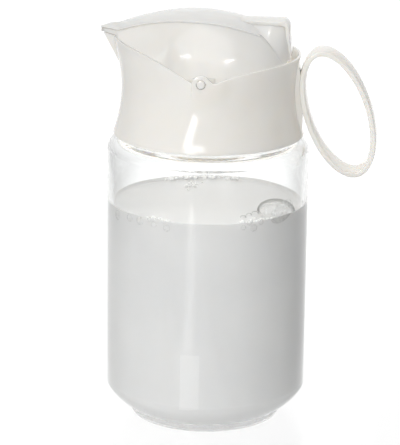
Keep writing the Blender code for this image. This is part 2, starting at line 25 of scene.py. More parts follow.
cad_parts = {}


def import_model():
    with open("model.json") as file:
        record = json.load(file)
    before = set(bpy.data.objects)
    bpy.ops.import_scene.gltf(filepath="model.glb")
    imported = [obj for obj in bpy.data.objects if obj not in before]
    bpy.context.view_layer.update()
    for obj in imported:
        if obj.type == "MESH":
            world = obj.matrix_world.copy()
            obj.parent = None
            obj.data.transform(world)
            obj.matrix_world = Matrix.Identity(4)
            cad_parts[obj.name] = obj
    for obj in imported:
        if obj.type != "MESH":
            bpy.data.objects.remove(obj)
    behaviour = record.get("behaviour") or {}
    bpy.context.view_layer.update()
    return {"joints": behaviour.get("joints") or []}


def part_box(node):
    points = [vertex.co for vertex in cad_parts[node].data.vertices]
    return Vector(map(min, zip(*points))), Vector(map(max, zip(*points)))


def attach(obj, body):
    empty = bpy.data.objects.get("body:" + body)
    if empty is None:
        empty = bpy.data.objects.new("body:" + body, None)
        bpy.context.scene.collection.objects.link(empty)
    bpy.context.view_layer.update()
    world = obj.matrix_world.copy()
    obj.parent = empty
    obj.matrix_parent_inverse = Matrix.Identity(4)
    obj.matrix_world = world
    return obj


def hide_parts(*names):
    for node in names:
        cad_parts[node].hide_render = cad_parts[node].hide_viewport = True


LOG = logging.getLogger("milk_jug")
MM = 0.001
BELOW_MILK_TOP = 0.8 * MM
SHARP_EDGE = math.radians(40.0)
Point = tuple[float, float]


# Numbers and lines


def lerp(a: float, b: float, t: float) -> float:
    """The value a share t of the way from a to b."""
    return a + (b - a) * t


def smooth(low: float, high: float, value: float) -> float:
    """Rises smoothly from 0 at low to 1 at high."""
    t = min(1.0, max(0.0, (value - low) / (high - low)))
    return t * t * (3.0 - 2.0 * t)


def parabola(x: float, top: float, middle: float, bend: float) -> float:
    """The height at x of a bow with its top over middle, flatter as bend grows."""
    return top - (x - middle) ** 2 / bend


def direction(azimuth: float, elevation: float) -> Vector:
    """From the jug towards an azimuth, from the front towards the handle, and an elevation."""
    flat = math.cos(elevation)
    return Vector((math.sin(azimuth) * flat, -math.cos(azimuth) * flat, math.sin(elevation)))


def soft_max(a: float, b: float, radius: float) -> float:
    """The larger of two heights, with the crease between them rounded."""
    return 0.5 * (a + b + math.sqrt((a - b) ** 2 + radius * radius))


def bezier(points: Sequence[Point], count: int) -> list[Point]:
    """Points along a cubic curve.

    Args:
        points: The four control points, in millimetres.
        count: How many steps to take.

    Returns:
        count + 1 points, in metres.
    """
    found = []
    for i in range(count + 1):
        t = i / count
        shares = ((1 - t) ** 3, 3 * t * (1 - t) ** 2, 3 * t * t * (1 - t), t**3)
        found.append(tuple(sum(s * p[k] for s, p in zip(shares, points)) * MM for k in (0, 1)))
    return found


def arc(centre: Point, radius: float, start: float, end: float, count: int) -> list[Point]:
    """Points on a circle.

    Args:
        centre: The circle's centre.
        radius: Its radius.
        start: The first point's angle, in degrees.
        end: The last point's angle, in degrees.
        count: How many steps to take.

    Returns:
        count + 1 points.
    """
    angles = [math.radians(lerp(start, end, i / count)) for i in range(count + 1)]
    return [(centre[0] + radius * math.cos(a), centre[1] + radius * math.sin(a)) for a in angles]


@dataclass(frozen=True)
class SideLine:
    """A line in the side view, whose x rises from point to point."""

    points: tuple[Point, ...]

    def height(self, x: float) -> float:
        """The line's height at a place.

        Args:
            x: Where to read it.

        Returns:
            The height.
        """
        i = min(max(bisect_left(self.points, (x, -1.0)), 1), len(self.points) - 1)
        (x0, z0), (x1, z1) = self.points[i - 1], self.points[i]
        return lerp(z0, z1, min(1.0, max(0.0, (x - x0) / (x1 - x0))))


# Shaders


class Value:
    """A number socket, on which Python's operators add Math nodes."""

    def __init__(self, tree: Nodes, socket: bpy.types.NodeSocket) -> None:
        """Wraps a socket of a node in tree."""
        self.tree = tree
        self.socket = socket

    def math(self, operation: str, *others: Value | float, first: float | None = None) -> Value:
        """Adds a Math node.

        Args:
            operation: The node's operation.
            others: The values after this one.
            first: A number to put before this one.

        Returns:
            The node's result.
        """
        inputs = [self, *others] if first is None else [first, self, *others]
        node = self.tree.node("ShaderNodeMath", {"operation": operation}, dict(enumerate(inputs)))
        return Value(self.tree, node.outputs[0])

    def __add__(self, other: Value | float) -> Value:
        """Adds."""
        return self.math("ADD", other)

    def __rsub__(self, other: float) -> Value:
        """Subtracts from a number."""
        return self.math("SUBTRACT", first=other)

    def __mul__(self, other: Value | float) -> Value:
        """Multiplies."""
        return self.math("MULTIPLY", other)

    __radd__ = __add__
    __rmul__ = __mul__

    def rise(self, low: float, high: float, start: float = 0.0, end: float = 1.0) -> Value:
        """Rises smoothly from start to end, as this value goes from low to high.

        Args:
            low: Where the rise starts.
            high: Where it ends.
            start: The result below low.
            end: The result above high.

        Returns:
            The result.
        """
        inputs = {0: self, 1: low, 2: high, 3: start, 4: end}
        node = self.tree.node("ShaderNodeMapRange", {"interpolation_type": "SMOOTHSTEP"}, inputs)
        return Value(self.tree, node.outputs[0])


class Nodes:
    """A node tree of a material or the world, and the one method that adds to it."""

    def __init__(self, owner: bpy.types.Material | bpy.types.World) -> None:
        """Clears the owner's nodes.

        Args:
            owner: The material or world.
        """
        owner.use_nodes = True
        self.tree = owner.node_tree
        self.tree.nodes.clear()

    def node(self, kind: str, settings: dict | None = None, inputs: dict | None = None) -> bpy.types.Node:
        """Adds a node.

        Args:
            kind: The node's type.
            settings: Its own settings, which are set first.
            inputs: Values or links, by socket name or number.

        Returns:
            The new node.
        """
        made = self.tree.nodes.new(kind)
        for name, value in (settings or {}).items():
            setattr(made, name, value)
        for name, value in (inputs or {}).items():
            if isinstance(value, Value):
                self.tree.links.new(value.socket, made.inputs[name])
            elif isinstance(value, bpy.types.NodeSocket):
                self.tree.links.new(value, made.inputs[name])
            else:
                made.inputs[name].default_value = value
        return made

    def place(self) -> bpy.types.NodeSocket:
        """Object coordinates."""
        return self.node("ShaderNodeTexCoord").outputs["Object"]

    def noise(self, scale: float, detail: float) -> Value:
        """Noise of a number of blotches a metre, from 0 to 1."""
        inputs = {"Vector": self.place(), "Scale": scale, "Detail": detail}
        return Value(self, self.node("ShaderNodeTexNoise", None, inputs).outputs["Fac"])

    def blend(self, factor: Value, a: tuple, b: tuple) -> bpy.types.NodeSocket:
        """A colour between a, at factor 0, and b, at factor 1."""
        node = self.node("ShaderNodeMix", {"data_type": "RGBA"}, {0: factor, 6: a, 7: b})
        return node.outputs[2]

    def bump(self, height: Value, distance: float) -> bpy.types.NodeSocket:
        """The normal of a surface with this relief, of distance metres."""
        inputs = {"Height": height, "Distance": distance, "Strength": 1.0}
        return self.node("ShaderNodeBump", None, inputs).outputs["Normal"]

    def facing(self) -> Value:
        """0 where the surface faces the eye, 1 at its rim."""
        return Value(self, self.node("ShaderNodeLayerWeight", None, {"Blend": 0.5}).outputs["Facing"])

    def principled(self, inputs: dict) -> bpy.types.NodeSocket:
        """A surface shader with these inputs."""
        return self.node("ShaderNodeBsdfPrincipled", None, inputs).outputs[0]

    def see_through(self) -> bpy.types.NodeSocket:
        """A shader that lets everything straight through."""
        return self.node("ShaderNodeBsdfTransparent").outputs[0]

    def mixed(self, factor: Value, *shaders: bpy.types.NodeSocket) -> bpy.types.NodeSocket:
        """Two shaders mixed, from the first at factor 0 to the second at factor 1."""
        return self.node("ShaderNodeMixShader", None, {0: factor, 1: shaders[0], 2: shaders[1]}).outputs[0]

    def finish(self, shader: bpy.types.NodeSocket, kind: str = "ShaderNodeOutputMaterial") -> None:
        """Links the last shader to the output."""
        self.node(kind, None, {"Surface": shader})


class Finish:
    """What all finishes share: a material of their name, with the shader that each makes for itself."""

    name: str

    def surface(self, tree: Nodes) -> bpy.types.NodeSocket:
        """The finish's shader, in tree."""
        raise NotImplementedError

    def build(self) -> bpy.types.Material:
        """Makes the material.

        Returns:
            The material.
        """
        made = bpy.data.materials.new(self.name)
        tree = Nodes(made)
        tree.finish(self.surface(tree))
        return made


@dataclass(frozen=True)
class GlossyPlastic(Finish):
    """White injection-moulded plastic: warm, glossy, faintly uneven in colour and sheen."""

    name: str = "white_plastic"
    colour: tuple = (0.90, 0.875, 0.83, 1.0)
    shade: tuple = (0.88, 0.85, 0.80, 1.0)
    roughness: float = 0.10
    ripple: float = 0.012 * MM
    # glow is painted light: an even emission that stands in for light coming through the plastic. Only the
    # collar's seat has it.
    glow: float = 0.0

    def surface(self, tree: Nodes) -> bpy.types.NodeSocket:
        """The finish's shader, in tree.

        Args:
            tree: The material's nodes.

        Returns:
            The shader's socket.
        """
        flow = tree.noise(45.0, 3.0)
        grain = tree.noise(900.0, 2.0)
        scuffs = tree.noise(160.0, 4.0)
        colour = tree.blend(flow.rise(0.3, 0.7), self.colour, self.shade)
        inputs = {
            "Base Color": colour,
            "Roughness": self.roughness + scuffs.rise(0.45, 0.75) * 0.05,
            "IOR": 1.49,
            "Subsurface Weight": 0.5,
            "Subsurface Radius": (1.0, 0.85, 0.7),
            "Subsurface Scale": 3.0 * MM,
            # Painted light: an even emission for the light that comes through the plastic.
            "Emission Color": self.colour,
            "Emission Strength": self.glow,
            "Normal": tree.bump(flow * 4.0 + grain * 0.15, self.ripple),
        }
        return tree.principled(inputs)


@dataclass(frozen=True)
class ClearGlass(Finish):
    """Soda-lime glass with the slow ripple of a moulded wall.

    Its rim is greyer to the eye: painted shade that stands in for the dark surroundings its edges reflect
    and bend.
    Past about three bounces a ray goes straight on through it, so that the light caught under the collar
    doesn't end in dark arcs.
    """

    name: str = "clear_glass"
    colour: tuple = (0.99, 0.997, 0.995, 1.0)
    painted_rim_shade: tuple = (0.72, 0.73, 0.72, 1.0)
    ripple: float = 0.05 * MM
    bounces: tuple = (2.5, 3.5)

    def surface(self, tree: Nodes) -> bpy.types.NodeSocket:
        """The finish's shader, in tree.

        Args:
            tree: The material's nodes.

        Returns:
            The shader's socket.
        """
        wave = tree.noise(38.0, 1.0)
        haze = tree.noise(120.0, 3.0)
        path = tree.node("ShaderNodeLightPath").outputs
        # Painted shade: the glass is greyer towards its rim, for rays from the camera.
        rim = tree.facing().rise(0.3, 0.9) * Value(tree, path["Is Camera Ray"])
        inputs = {
            "Base Color": tree.blend(rim, self.colour, self.painted_rim_shade),
            "Roughness": haze.rise(0.4, 0.8) * 0.02,
            "IOR": 1.5,
            "Transmission Weight": 1.0,
            "Normal": tree.bump(wave, self.ripple),
        }
        caught = Value(tree, path["Ray Depth"]).rise(*self.bounces)
        return tree.mixed(caught, tree.principled(inputs), tree.see_through())


@dataclass(frozen=True)
class FreshMilk(Finish):
    """Opaque neutral white milk with a wet surface."""

    name: str = "milk"
    colour: tuple = (0.82, 0.82, 0.812, 1.0)
    shade: tuple = (0.79, 0.792, 0.788, 1.0)
    # glow is painted light: an even emission, which the foam beads get for the light that shines through
    # them from behind.
    glow: float = 0.0

    def surface(self, tree: Nodes) -> bpy.types.NodeSocket:
        """The finish's shader, in tree.

        Args:
            tree: The material's nodes.

        Returns:
            The shader's socket.
        """
        cloud = tree.noise(30.0, 3.0)
        skin = tree.noise(260.0, 3.0)
        inputs = {
            "Base Color": tree.blend(cloud.rise(0.3, 0.7), self.colour, self.shade),
            "Roughness": 0.16 + skin * 0.1,
            "IOR": 1.35,
            "Subsurface Weight": 0.25,
            "Subsurface Radius": (1.0, 0.9, 0.8),
            "Subsurface Scale": 1.5 * MM,
            # Painted light: an even emission for light that shines through from behind.
            "Emission Color": self.colour,
            "Emission Strength": self.glow,
            "Normal": tree.bump(cloud, 0.1 * MM),
        }
        return tree.principled(inputs)


@dataclass(frozen=True)
class BubbleFilm(Finish):
    """The thin wet film of a bubble: clear in the middle, with a painted grey line at its rim, shade where
    its edge bends the light away.
    """

    name: str = "bubble_film"
    # The rim line's grey is painted shade.
    colour: tuple = (0.34, 0.34, 0.33, 1.0)
    middle: tuple = (0.95, 0.95, 0.94, 1.0)

    def surface(self, tree: Nodes) -> bpy.types.NodeSocket:
        """The finish's shader, in tree.

        Args:
            tree: The material's nodes.

        Returns:
            The shader's socket.
        """
        # Painted shade: the grey rim line where the film turns away from the eye.
        line = tree.facing().rise(0.3, 0.7)
        swirl = tree.noise(700.0, 2.0)
        inputs = {"Base Color": tree.blend(line, self.middle, self.colour), "Roughness": 0.32 + swirl * 0.1}
        cover = line * 0.75 + swirl.rise(0.45, 0.8) * 0.25 + 0.05
        return tree.mixed(cover, tree.see_through(), tree.principled(inputs))


@dataclass(frozen=True)
class GlowingTable(Finish):
    """A pale light table: glossy, mottled in its sheen, and lit from below."""

    name: str = "pale_table"
    colour: tuple = (0.11, 0.11, 0.11, 1.0)
    glow: float = 0.82
    strip_half_width: float = 0.2
    strip_end: float = 0.44
    dim: tuple = (0.4, 0.4, 0.4, 1.0)

    def surface(self, tree: Nodes) -> bpy.types.NodeSocket:
        """The finish's shader, in tree.

        Args:
            tree: The material's nodes.

        Returns:
            The shader's socket.
        """
        parts = tree.node("ShaderNodeSeparateXYZ", None, {0: tree.place()})
        aside = Value(tree, parts.outputs[0]).math("ABSOLUTE")
        edge = aside.rise(self.strip_half_width, self.strip_end)
        inputs = {
            "Base Color": self.colour,
            "Roughness": tree.noise(40.0, 3.0).rise(0.3, 0.7, 0.16, 0.22),
            "IOR": 1.4,
            "Emission Color": tree.blend(edge, (1.0, 1.0, 1.0, 1.0), self.dim),
            "Emission Strength": self.glow,
        }
        return tree.principled(inputs)


@dataclass(frozen=True)
class CardFinish(Finish):
    """A studio card, matt black or evenly glowing."""

    name: str
    glow: float = 0.0
    black: tuple = (0.02, 0.02, 0.02, 1.0)

    def surface(self, tree: Nodes) -> bpy.types.NodeSocket:
        """The finish's shader, in tree.

        Args:
            tree: The material's nodes.

        Returns:
            The shader's socket.
        """
        if self.glow:
            return tree.node("ShaderNodeEmission", None, {"Strength": self.glow}).outputs[0]
        return tree.principled({"Base Color": self.black, "Roughness": 0.9})


class Body(Enum):
    """The rigid bodies that pieces ride on."""

    JUG = "jug"
    LID = "lid"


# Meshes


def linked(name: str, data: bpy.types.ID) -> bpy.types.Object:
    """Puts a new object with this data in the scene.

    Args:
        name: The object's name.
        data: Its mesh, light or camera.

    Returns:
        The object.
    """
    made = bpy.data.objects.new(name, data)
    bpy.context.scene.collection.objects.link(made)
    return made


def solid(name: str, bm: bmesh.types.BMesh, material: bpy.types.Material | None = None) -> bpy.types.Object:
    """Puts a new object with a mesh in the scene.

    Args:
        name: The object's name.
        bm: Its mesh, which is freed.
        material: Its material, if it has one.

    Returns:
        The object.
    """
    mesh = bpy.data.meshes.new(name)
    bm.to_mesh(mesh)
    bm.free()
    if material:
        mesh.materials.append(material)
    return linked(name, mesh)


def spun(profile: Sequence[Point], steps: int, closed: bool = False) -> bmesh.types.BMesh:
    """Turns a profile round the Z axis.

    Args:
        profile: (radius, height) points.
        steps: How many columns the full turn has.
        closed: Whether the last point joins the first.

    Returns:
        The mesh. Its vertices' "row" layer says which profile point each one came from.
    """
    bm = bmesh.new()
    row = bm.verts.layers.int.new("row")
    verts = [bm.verts.new((r, 0.0, z)) for r, z in profile]
    for i, vert in enumerate(verts):
        vert[row] = i
    edges = [bm.edges.new(pair) for pair in zip(verts, verts[1:])]
    if closed:
        edges.append(bm.edges.new((verts[-1], verts[0])))
    bmesh.ops.spin(
        bm, geom=verts + edges, axis=(0, 0, 1), angle=2 * math.pi, steps=steps, use_merge=True
    )
    bmesh.ops.remove_doubles(bm, verts=bm.verts, dist=0.001 * MM)
    bmesh.ops.recalc_face_normals(bm, faces=bm.faces)
    return bm


def sheet(columns: int, rows: int, place: Callable[[float, float], Vector]) -> bmesh.types.BMesh:
    """Shapes a grid over a surface.

    Args:
        columns: Faces along the first direction.
        rows: Faces along the second direction.
        place: The surface, from two shares between 0 and 1 to a point.

    Returns:
        The mesh.
    """
    bm = bmesh.new()
    bmesh.ops.create_grid(bm, x_segments=columns, y_segments=rows, size=0.5)
    for vert in bm.verts:
        vert.co = place(vert.co.x + 0.5, vert.co.y + 0.5)
    return bm


def slab(outline: Sequence[Point], half_width: float) -> bmesh.types.BMesh:
    """Extrudes an outline in the XZ plane to both sides along Y.

    Args:
        outline: (x, z) points.
        half_width: How far it reaches to each side.

    Returns:
        The mesh.
    """
    bm = bmesh.new()
    verts = [bm.verts.new((x, -half_width, z)) for x, z in outline]
    face = bmesh.ops.contextual_create(bm, geom=verts)["faces"]
    raised = bmesh.ops.extrude_face_region(bm, geom=face)["geom"]
    moved = [v for v in raised if isinstance(v, bmesh.types.BMVert)]
    bmesh.ops.translate(bm, verts=moved, vec=(0.0, 2 * half_width, 0.0))
    bmesh.ops.recalc_face_normals(bm, faces=bm.faces)
    return bm


def cylinder(radius: float, start: float, end: float, height: float) -> bmesh.types.BMesh:
    """A plain cylinder along Y.

    Args:
        radius: Its radius.
        start: Its first end's y.
        end: Its last end's y.
        height: Its axis's z.

    Returns:
        The mesh.
    """
    bm = bmesh.new()
    turn = Matrix.Translation((0.0, (start + end) / 2, height)) @ Matrix.Rotation(math.pi / 2, 4, "X")
    bmesh.ops.create_cone(
        bm, cap_ends=True, segments=64, radius1=radius, radius2=radius, depth=abs(end - start), matrix=turn
    )
    return bm


def rod(radius: float, start: float, end: float, height: float, round_end: float) -> bmesh.types.BMesh:
    """A pin along Y with rounded ends.

    Args:
        radius: The pin's radius.
        start: Its first end's y.
        end: Its last end's y.
        height: Its axis's z.
        round_end: The radius of its end edges.

    Returns:
        The mesh.
    """
    bm = cylinder(radius, start, end, height)
    caps = [f for f in bm.faces if len(f.verts) > 4]
    edges = list({e for f in caps for e in f.edges})
    bmesh.ops.bevel(
        bm, geom=edges, offset=round_end, segments=4, profile=0.5, affect="EDGES", material=-1
    )
    return bm


def face_up(bm: bmesh.types.BMesh) -> bmesh.types.BMesh:
    """Turns a sheet over if its faces point down on the whole.

    Args:
        bm: The sheet.

    Returns:
        The same sheet.
    """
    bm.normal_update()
    if sum(face.normal.z for face in bm.faces) < 0:
        bmesh.ops.reverse_faces(bm, faces=bm.faces)
    return bm


def ball(radius: float, place: Matrix, rings: int) -> bmesh.types.BMesh:
    """A sphere of a radius, put in place, with a number of rings from pole to pole.

    Args:
        radius: Its radius.
        place: Its place, turn and stretch.
        rings: Faces from pole to pole.

    Returns:
        The mesh.
    """
    bm = bmesh.new()
    bmesh.ops.create_uvsphere(bm, u_segments=2 * rings, v_segments=rings, radius=radius, matrix=place)
    return bm


def joined(parts: Iterable[bmesh.types.BMesh]) -> bmesh.types.BMesh:
    """Puts several meshes into one, and frees them.

    Args:
        parts: The meshes, which are freed.

    Returns:
        The mesh.
    """
    whole = bmesh.new()
    for part in parts:
        mesh = bpy.data.meshes.new("part")
        part.to_mesh(mesh)
        part.free()
        whole.from_mesh(mesh)
        bpy.data.meshes.remove(mesh)
    return whole


@dataclass
class Piece:
    """A named piece of the jug, and what it rides on and stands for."""

    name: str
    body: Body
    slot: str
    replaces: tuple[str, ...] = ()
    sharp: float = 35.0

    def build(self, bm: bmesh.types.BMesh, material: bpy.types.Material) -> bpy.types.Object:
        """Makes the object, shades it and gives it to its body.

        Args:
            bm: The mesh, which is freed.
            material: Its finish.

        Returns:
            The object.
        """
        made = solid(self.name, bm, material)
        made.data.shade_smooth()
        made.data.set_sharp_from_angle(angle=math.radians(self.sharp))
        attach(made, self.body.value)
        if self.replaces:
            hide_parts(*self.replaces)
        LOG.info("%s: %d faces on %s", self.name, len(made.data.polygons), self.body.value)
        return made


def add_wall(piece: bpy.types.Object, thickness: float) -> None:
    """Gives a sheet its wall, which grows inwards from it.

    Args:
        piece: The sheet.
        thickness: How thick the wall is.
    """
    wall = piece.modifiers.new("wall", "SOLIDIFY")
    wall.thickness = thickness
    wall.offset = -1.0
    wall.use_even_offset = True


def round_edges(piece: bpy.types.Object, radius: float) -> None:
    """Rounds a piece's sharp edges.

    Args:
        piece: The piece.
        radius: The width of the rounding.
    """
    bevel = piece.modifiers.new("edges", "BEVEL")
    bevel.width = radius
    bevel.segments = 3
    bevel.limit_method = "ANGLE"
    bevel.angle_limit = SHARP_EDGE
    bevel.harden_normals = True


# The jar and what it holds


@dataclass
class Jar:
    """The blown glass jar: a low foot, a rounded heel, a straight wall, a shoulder and a neck."""

    radius: float
    neck_top: float
    wall: float = 2.5 * MM
    foot_radius: float = 33.2 * MM
    foot_top: float = 3.4 * MM
    foot_ring: float = 4.0 * MM
    punt: float = 1.4 * MM
    heel_top: float = 13.4 * MM
    heel_power: float = 1.3
    base: float = 4.2 * MM
    inner_heel_radius: float = 30.8 * MM
    inner_heel_top: float = 14.9 * MM
    inner_heel_power: float = 1.35
    shoulder_start: float = 119.9 * MM
    shoulder_radius: float = 5.5 * MM
    neck_radius: float = 33.7 * MM
    fillet: float = 2.2 * MM
    foot_rounding: float = 0.9 * MM
    punt_bevel: Point = (1.2 * MM, 0.25 * MM)
    punt_slope: float = 3.0 * MM
    wall_heights: tuple = (40.0 * MM, 70.0 * MM, 100.0 * MM)
    heel_steps: int = 26
    steps: int = 224

    @property
    def inner_radius(self) -> float:
        """The radius inside the wall."""
        return self.radius - self.wall

    def heel(
        self, top_radius: float, foot_radius: float, low: float, high: float, power: float
    ) -> list[Point]:
        """The rounded heel.

        Args:
            top_radius: Its radius at the wall.
            foot_radius: Its radius at the foot.
            low: The foot's height.
            high: The height where the wall starts.
            power: 1 for a straight chamfer, up to 2 for a quarter round.

        Returns:
            Points from the wall down.
        """
        found = []
        for i in range(self.heel_steps + 1):
            a = math.radians(90.0 * (1 - i / self.heel_steps))
            out, down = math.sin(a) ** (2 / power), math.cos(a) ** (2 / power)
            found.append((lerp(foot_radius, top_radius, out), lerp(high, low, down)))
        return found

    def inner_side(self, grow: float = 0.0) -> list[Point]:
        """The inside below the shoulder, from the middle of the bottom up, moved out by grow.

        Args:
            grow: How far to move out.

        Returns:
            (radius, height) points.
        """
        low = self.base - grow
        heel = self.heel(
            self.inner_radius + grow,
            self.inner_heel_radius + grow,
            low,
            self.inner_heel_top,
            self.inner_heel_power,
        )
        return [(0.0, low), (self.inner_heel_radius * 0.5, low)] + heel[::-1]

    def profile(self) -> list[Point]:
        """The whole jar, from the middle of its inside over the rim to the middle of its foot.

        Returns:
            (radius, height) points.
        """
        centre = (self.radius - self.shoulder_radius, self.shoulder_start)
        inner_neck = self.neck_radius - self.wall
        foot = self.shoulder_start + self.shoulder_radius
        fillet, lip, rounding = self.fillet, self.wall / 2, self.foot_rounding
        points = self.inner_side()
        points += [(self.inner_radius, z) for z in self.wall_heights]
        points += arc(centre, self.shoulder_radius - self.wall, 0.0, 90.0, 8)
        corner = (inner_neck + fillet, foot - self.wall + fillet)
        points += arc(corner, fillet, 270.0, 180.0, 6)
        points += arc((self.neck_radius - lip, self.neck_top - lip), lip, 180.0, 0.0, 10)
        corner = (self.neck_radius + fillet, foot + fillet)
        points += arc(corner, fillet, 180.0, 270.0, 8)
        points += arc(centre, self.shoulder_radius, 90.0, 0.0, 14)
        points += [(self.radius, z) for z in self.wall_heights[::-1]]
        points += self.heel(self.radius, self.foot_radius, self.foot_top, self.heel_top, self.heel_power)
        points += arc((self.foot_radius - rounding, rounding), rounding, 0.0, -90.0, 6)
        inside = self.foot_radius - self.foot_ring
        bevel = (inside - self.punt_bevel[0], self.punt_bevel[1])
        return points + [(inside, 0.0), bevel, (inside - self.punt_slope, self.punt), (0.0, self.punt)]

    def build(self, finish: bpy.types.Material) -> None:
        """Makes the jar. Light passes it without a shadow, as it does through clear glass.

        Args:
            finish: The glass.
        """
        piece = Piece("jar_glass", Body.JUG, "clear_glass", ("glass_jar",), 60.0)
        made = piece.build(spun(self.profile(), self.steps), finish)
        made.visible_shadow = False


@dataclass
class Milk:
    """The milk, which reaches just into the glass, with a raised edge where it wets the wall."""

    jar: Jar
    level: float
    into_wall: float = 0.5 * MM
    edge_rise: float = 1.3 * MM
    edge_width: float = 3.2 * MM
    unevenness: float = 0.45 * MM
    fade: float = 4.0 * MM

    def profile(self) -> list[Point]:
        """From the middle of the surface out to the wall, and down to the middle of the bottom.

        Returns:
            (radius, height) points.
        """
        edge = self.jar.inner_radius
        points = [(edge * i / 10, self.level) for i in range(10)]
        for i in range(9):
            t = i / 8
            points.append((edge - self.edge_width * (1 - t), self.level + self.edge_rise * t**3))
        points.append((edge + self.into_wall, self.level + self.edge_rise))
        return points + self.jar.inner_side(self.into_wall)[::-1]

    def build(self, finish: bpy.types.Material) -> None:
        """Makes the milk. Its edge is a little uneven round the wall.

        Args:
            finish: The milk.
        """
        bm = spun(self.profile(), self.jar.steps)
        for vert in bm.verts:
            share = smooth(self.level - self.fade, self.level, vert.co.z)
            away = smooth(0.75, 1.0, Vector(vert.co.xy).length / self.jar.inner_radius)
            way = vert.co.normalized()
            wave = noise.noise(way * 4.2) + 0.5 * noise.noise(way * 11.0)
            vert.co.z += self.unevenness * wave * share * away
        Piece("milk_fill", Body.JUG, "milk", ("milk",), 50.0).build(bm, finish)


@dataclass
class Froth:
    """The bubbles at the milk's edge: flat ones on the glass, domes on the milk, and small beads."""

    jar: Jar
    level: float
    # On the glass: angle round the jar and height over the milk, then width, height and lean, in
    # degrees and millimetres.
    on_glass: tuple = (
        (-148.2, -1.7, 4.4, 4.4, 0.0),
        (-135.5, -0.7, 3.4, 3.2, 0.0),
        (-126.9, -0.6, 3.8, 3.6, 0.0),
        (-119.9, 0.9, 2.2, 2.2, 0.0),
        (-117.1, -0.9, 2.6, 2.4, 0.0),
        (-110.7, 1.1, 2.0, 1.8, 0.0),
        (-108.7, -1.6, 3.1, 3.1, 0.0),
        (-50.7, 4.2, 1.9, 1.8, 0.0),
        (-52.8, 2.4, 2.0, 1.8, 0.0),
        (-52.8, 0.6, 2.3, 2.2, 0.0),
        (-57.0, 2.6, 1.9, 1.8, 0.0),
        (-60.4, 1.1, 2.3, 2.2, 0.0),
        (-63.9, -0.7, 2.3, 2.2, 0.0),
        (-57.6, -1.3, 3.1, 3.1, 0.0),
        (-36.8, 3.4, 14.6, 8.8, 17.0),
        (-13.1, 3.2, 2.2, 1.9, 0.0),
        (-8.0, 2.0, 2.0, 1.8, 0.0),
        (-3.0, 3.4, 2.2, 1.9, 0.0),
    )
    # On the milk: place on its surface and diameter, in millimetres.
    domes: tuple = (
        (30.4, -12.0, 15.6),
        (22.0, -17.5, 3.0),
        (19.6, -20.5, 2.4),
        (17.4, -24.4, 2.6),
        (-9.6, 23.0, 1.6),
        (-7.4, 22.2, 1.2),
        (-11.6, 21.6, 1.3),
    )
    # Along the edge: from angle to angle, and how many.
    bead_runs: tuple = ((124.0, 74.0, 44), (236.0, 252.0, 10), (296.0, 322.0, 14))
    patch_centre: Point = (-9.5, 26.0)
    patch_spread: Point = (1.6, 4.5)
    patch_count: int = 26
    flatness: float = 0.3
    thickest: float = 3.0
    into_glass: float = 0.55 * MM
    dome_squash: float = 0.6

    def flat_bubbles(self) -> list[bmesh.types.BMesh]:
        """The bubbles that press on the glass.

        Returns:
            A mesh for each.
        """
        made = []
        reach = self.jar.inner_radius + self.into_glass
        for angle, rise, width, height, lean in self.on_glass:
            a = math.radians(angle)
            centre = Vector((reach * math.cos(a), reach * math.sin(a), self.level + rise * MM))
            turn = Matrix.Rotation(a, 4, "Z") @ Matrix.Rotation(math.radians(lean), 4, "X")
            depth = self.flatness * min(width, height, self.thickest)
            size = Matrix.Diagonal((depth * MM, width * MM, height * MM, 1.0))
            made.append(ball(0.5, Matrix.Translation(centre) @ turn @ size, 24))
        return made

    def floating(self) -> list[bmesh.types.BMesh]:
        """The domes on the milk's surface.

        Returns:
            A mesh for each.
        """
        made = []
        for x, y, diameter in self.domes:
            place = Matrix.Translation((x * MM, y * MM, self.level + diameter * 0.02 * MM))
            squash = Matrix.Diagonal((1.0, 1.0, self.dome_squash, 1.0))
            made.append(ball(diameter * MM / 2, place @ squash, 20))
        return made

    def beads(self) -> list[bmesh.types.BMesh]:
        """The small white beads along the edge and in a patch near the far side.

        Returns:
            A mesh for each.
        """
        chance = random.Random(7)
        made = []
        for start, end, count in self.bead_runs:
            for i in range(count):
                a = math.radians(lerp(start, end, (i + chance.uniform(-0.4, 0.4)) / count))
                radius = chance.uniform(0.4, 1.0) * MM
                reach = self.jar.inner_radius - radius - chance.uniform(0.0, 1.8) * MM
                height = self.level + chance.uniform(0.2, 1.3) * MM
                centre = (reach * math.cos(a), reach * math.sin(a), height)
                made.append(ball(radius, Matrix.Translation(centre), 8))
        for _ in range(self.patch_count):
            x, y = (chance.gauss(*pair) for pair in zip(self.patch_centre, self.patch_spread))
            radius = chance.uniform(0.25, 0.55) * MM
            made.append(ball(radius, Matrix.Translation((x * MM, y * MM, self.level + 0.1 * MM)), 8))
        return made

    def build(self, film: bpy.types.Material, foam: bpy.types.Material) -> None:
        """Makes the bubbles and the beads.

        Args:
            film: The bubbles' material.
            foam: The beads' material.
        """
        bubbles = joined(self.flat_bubbles() + self.floating())
        Piece("froth_bubbles", Body.JUG, "milk").build(bubbles, film)
        Piece("froth_beads", Body.JUG, "milk").build(joined(self.beads()), foam)


# The collar and its handle


class Anchor(Enum):
    """What a point of the collar's section is measured from."""

    FOOT = "foot"
    BETWEEN = "between"
    RIM = "rim"


@dataclass(frozen=True)
class WallPoint:
    """A point of the collar's section: on its outer or inner side, inset from it, at a height."""

    outer: bool
    inset: float
    anchor: Anchor
    height: float


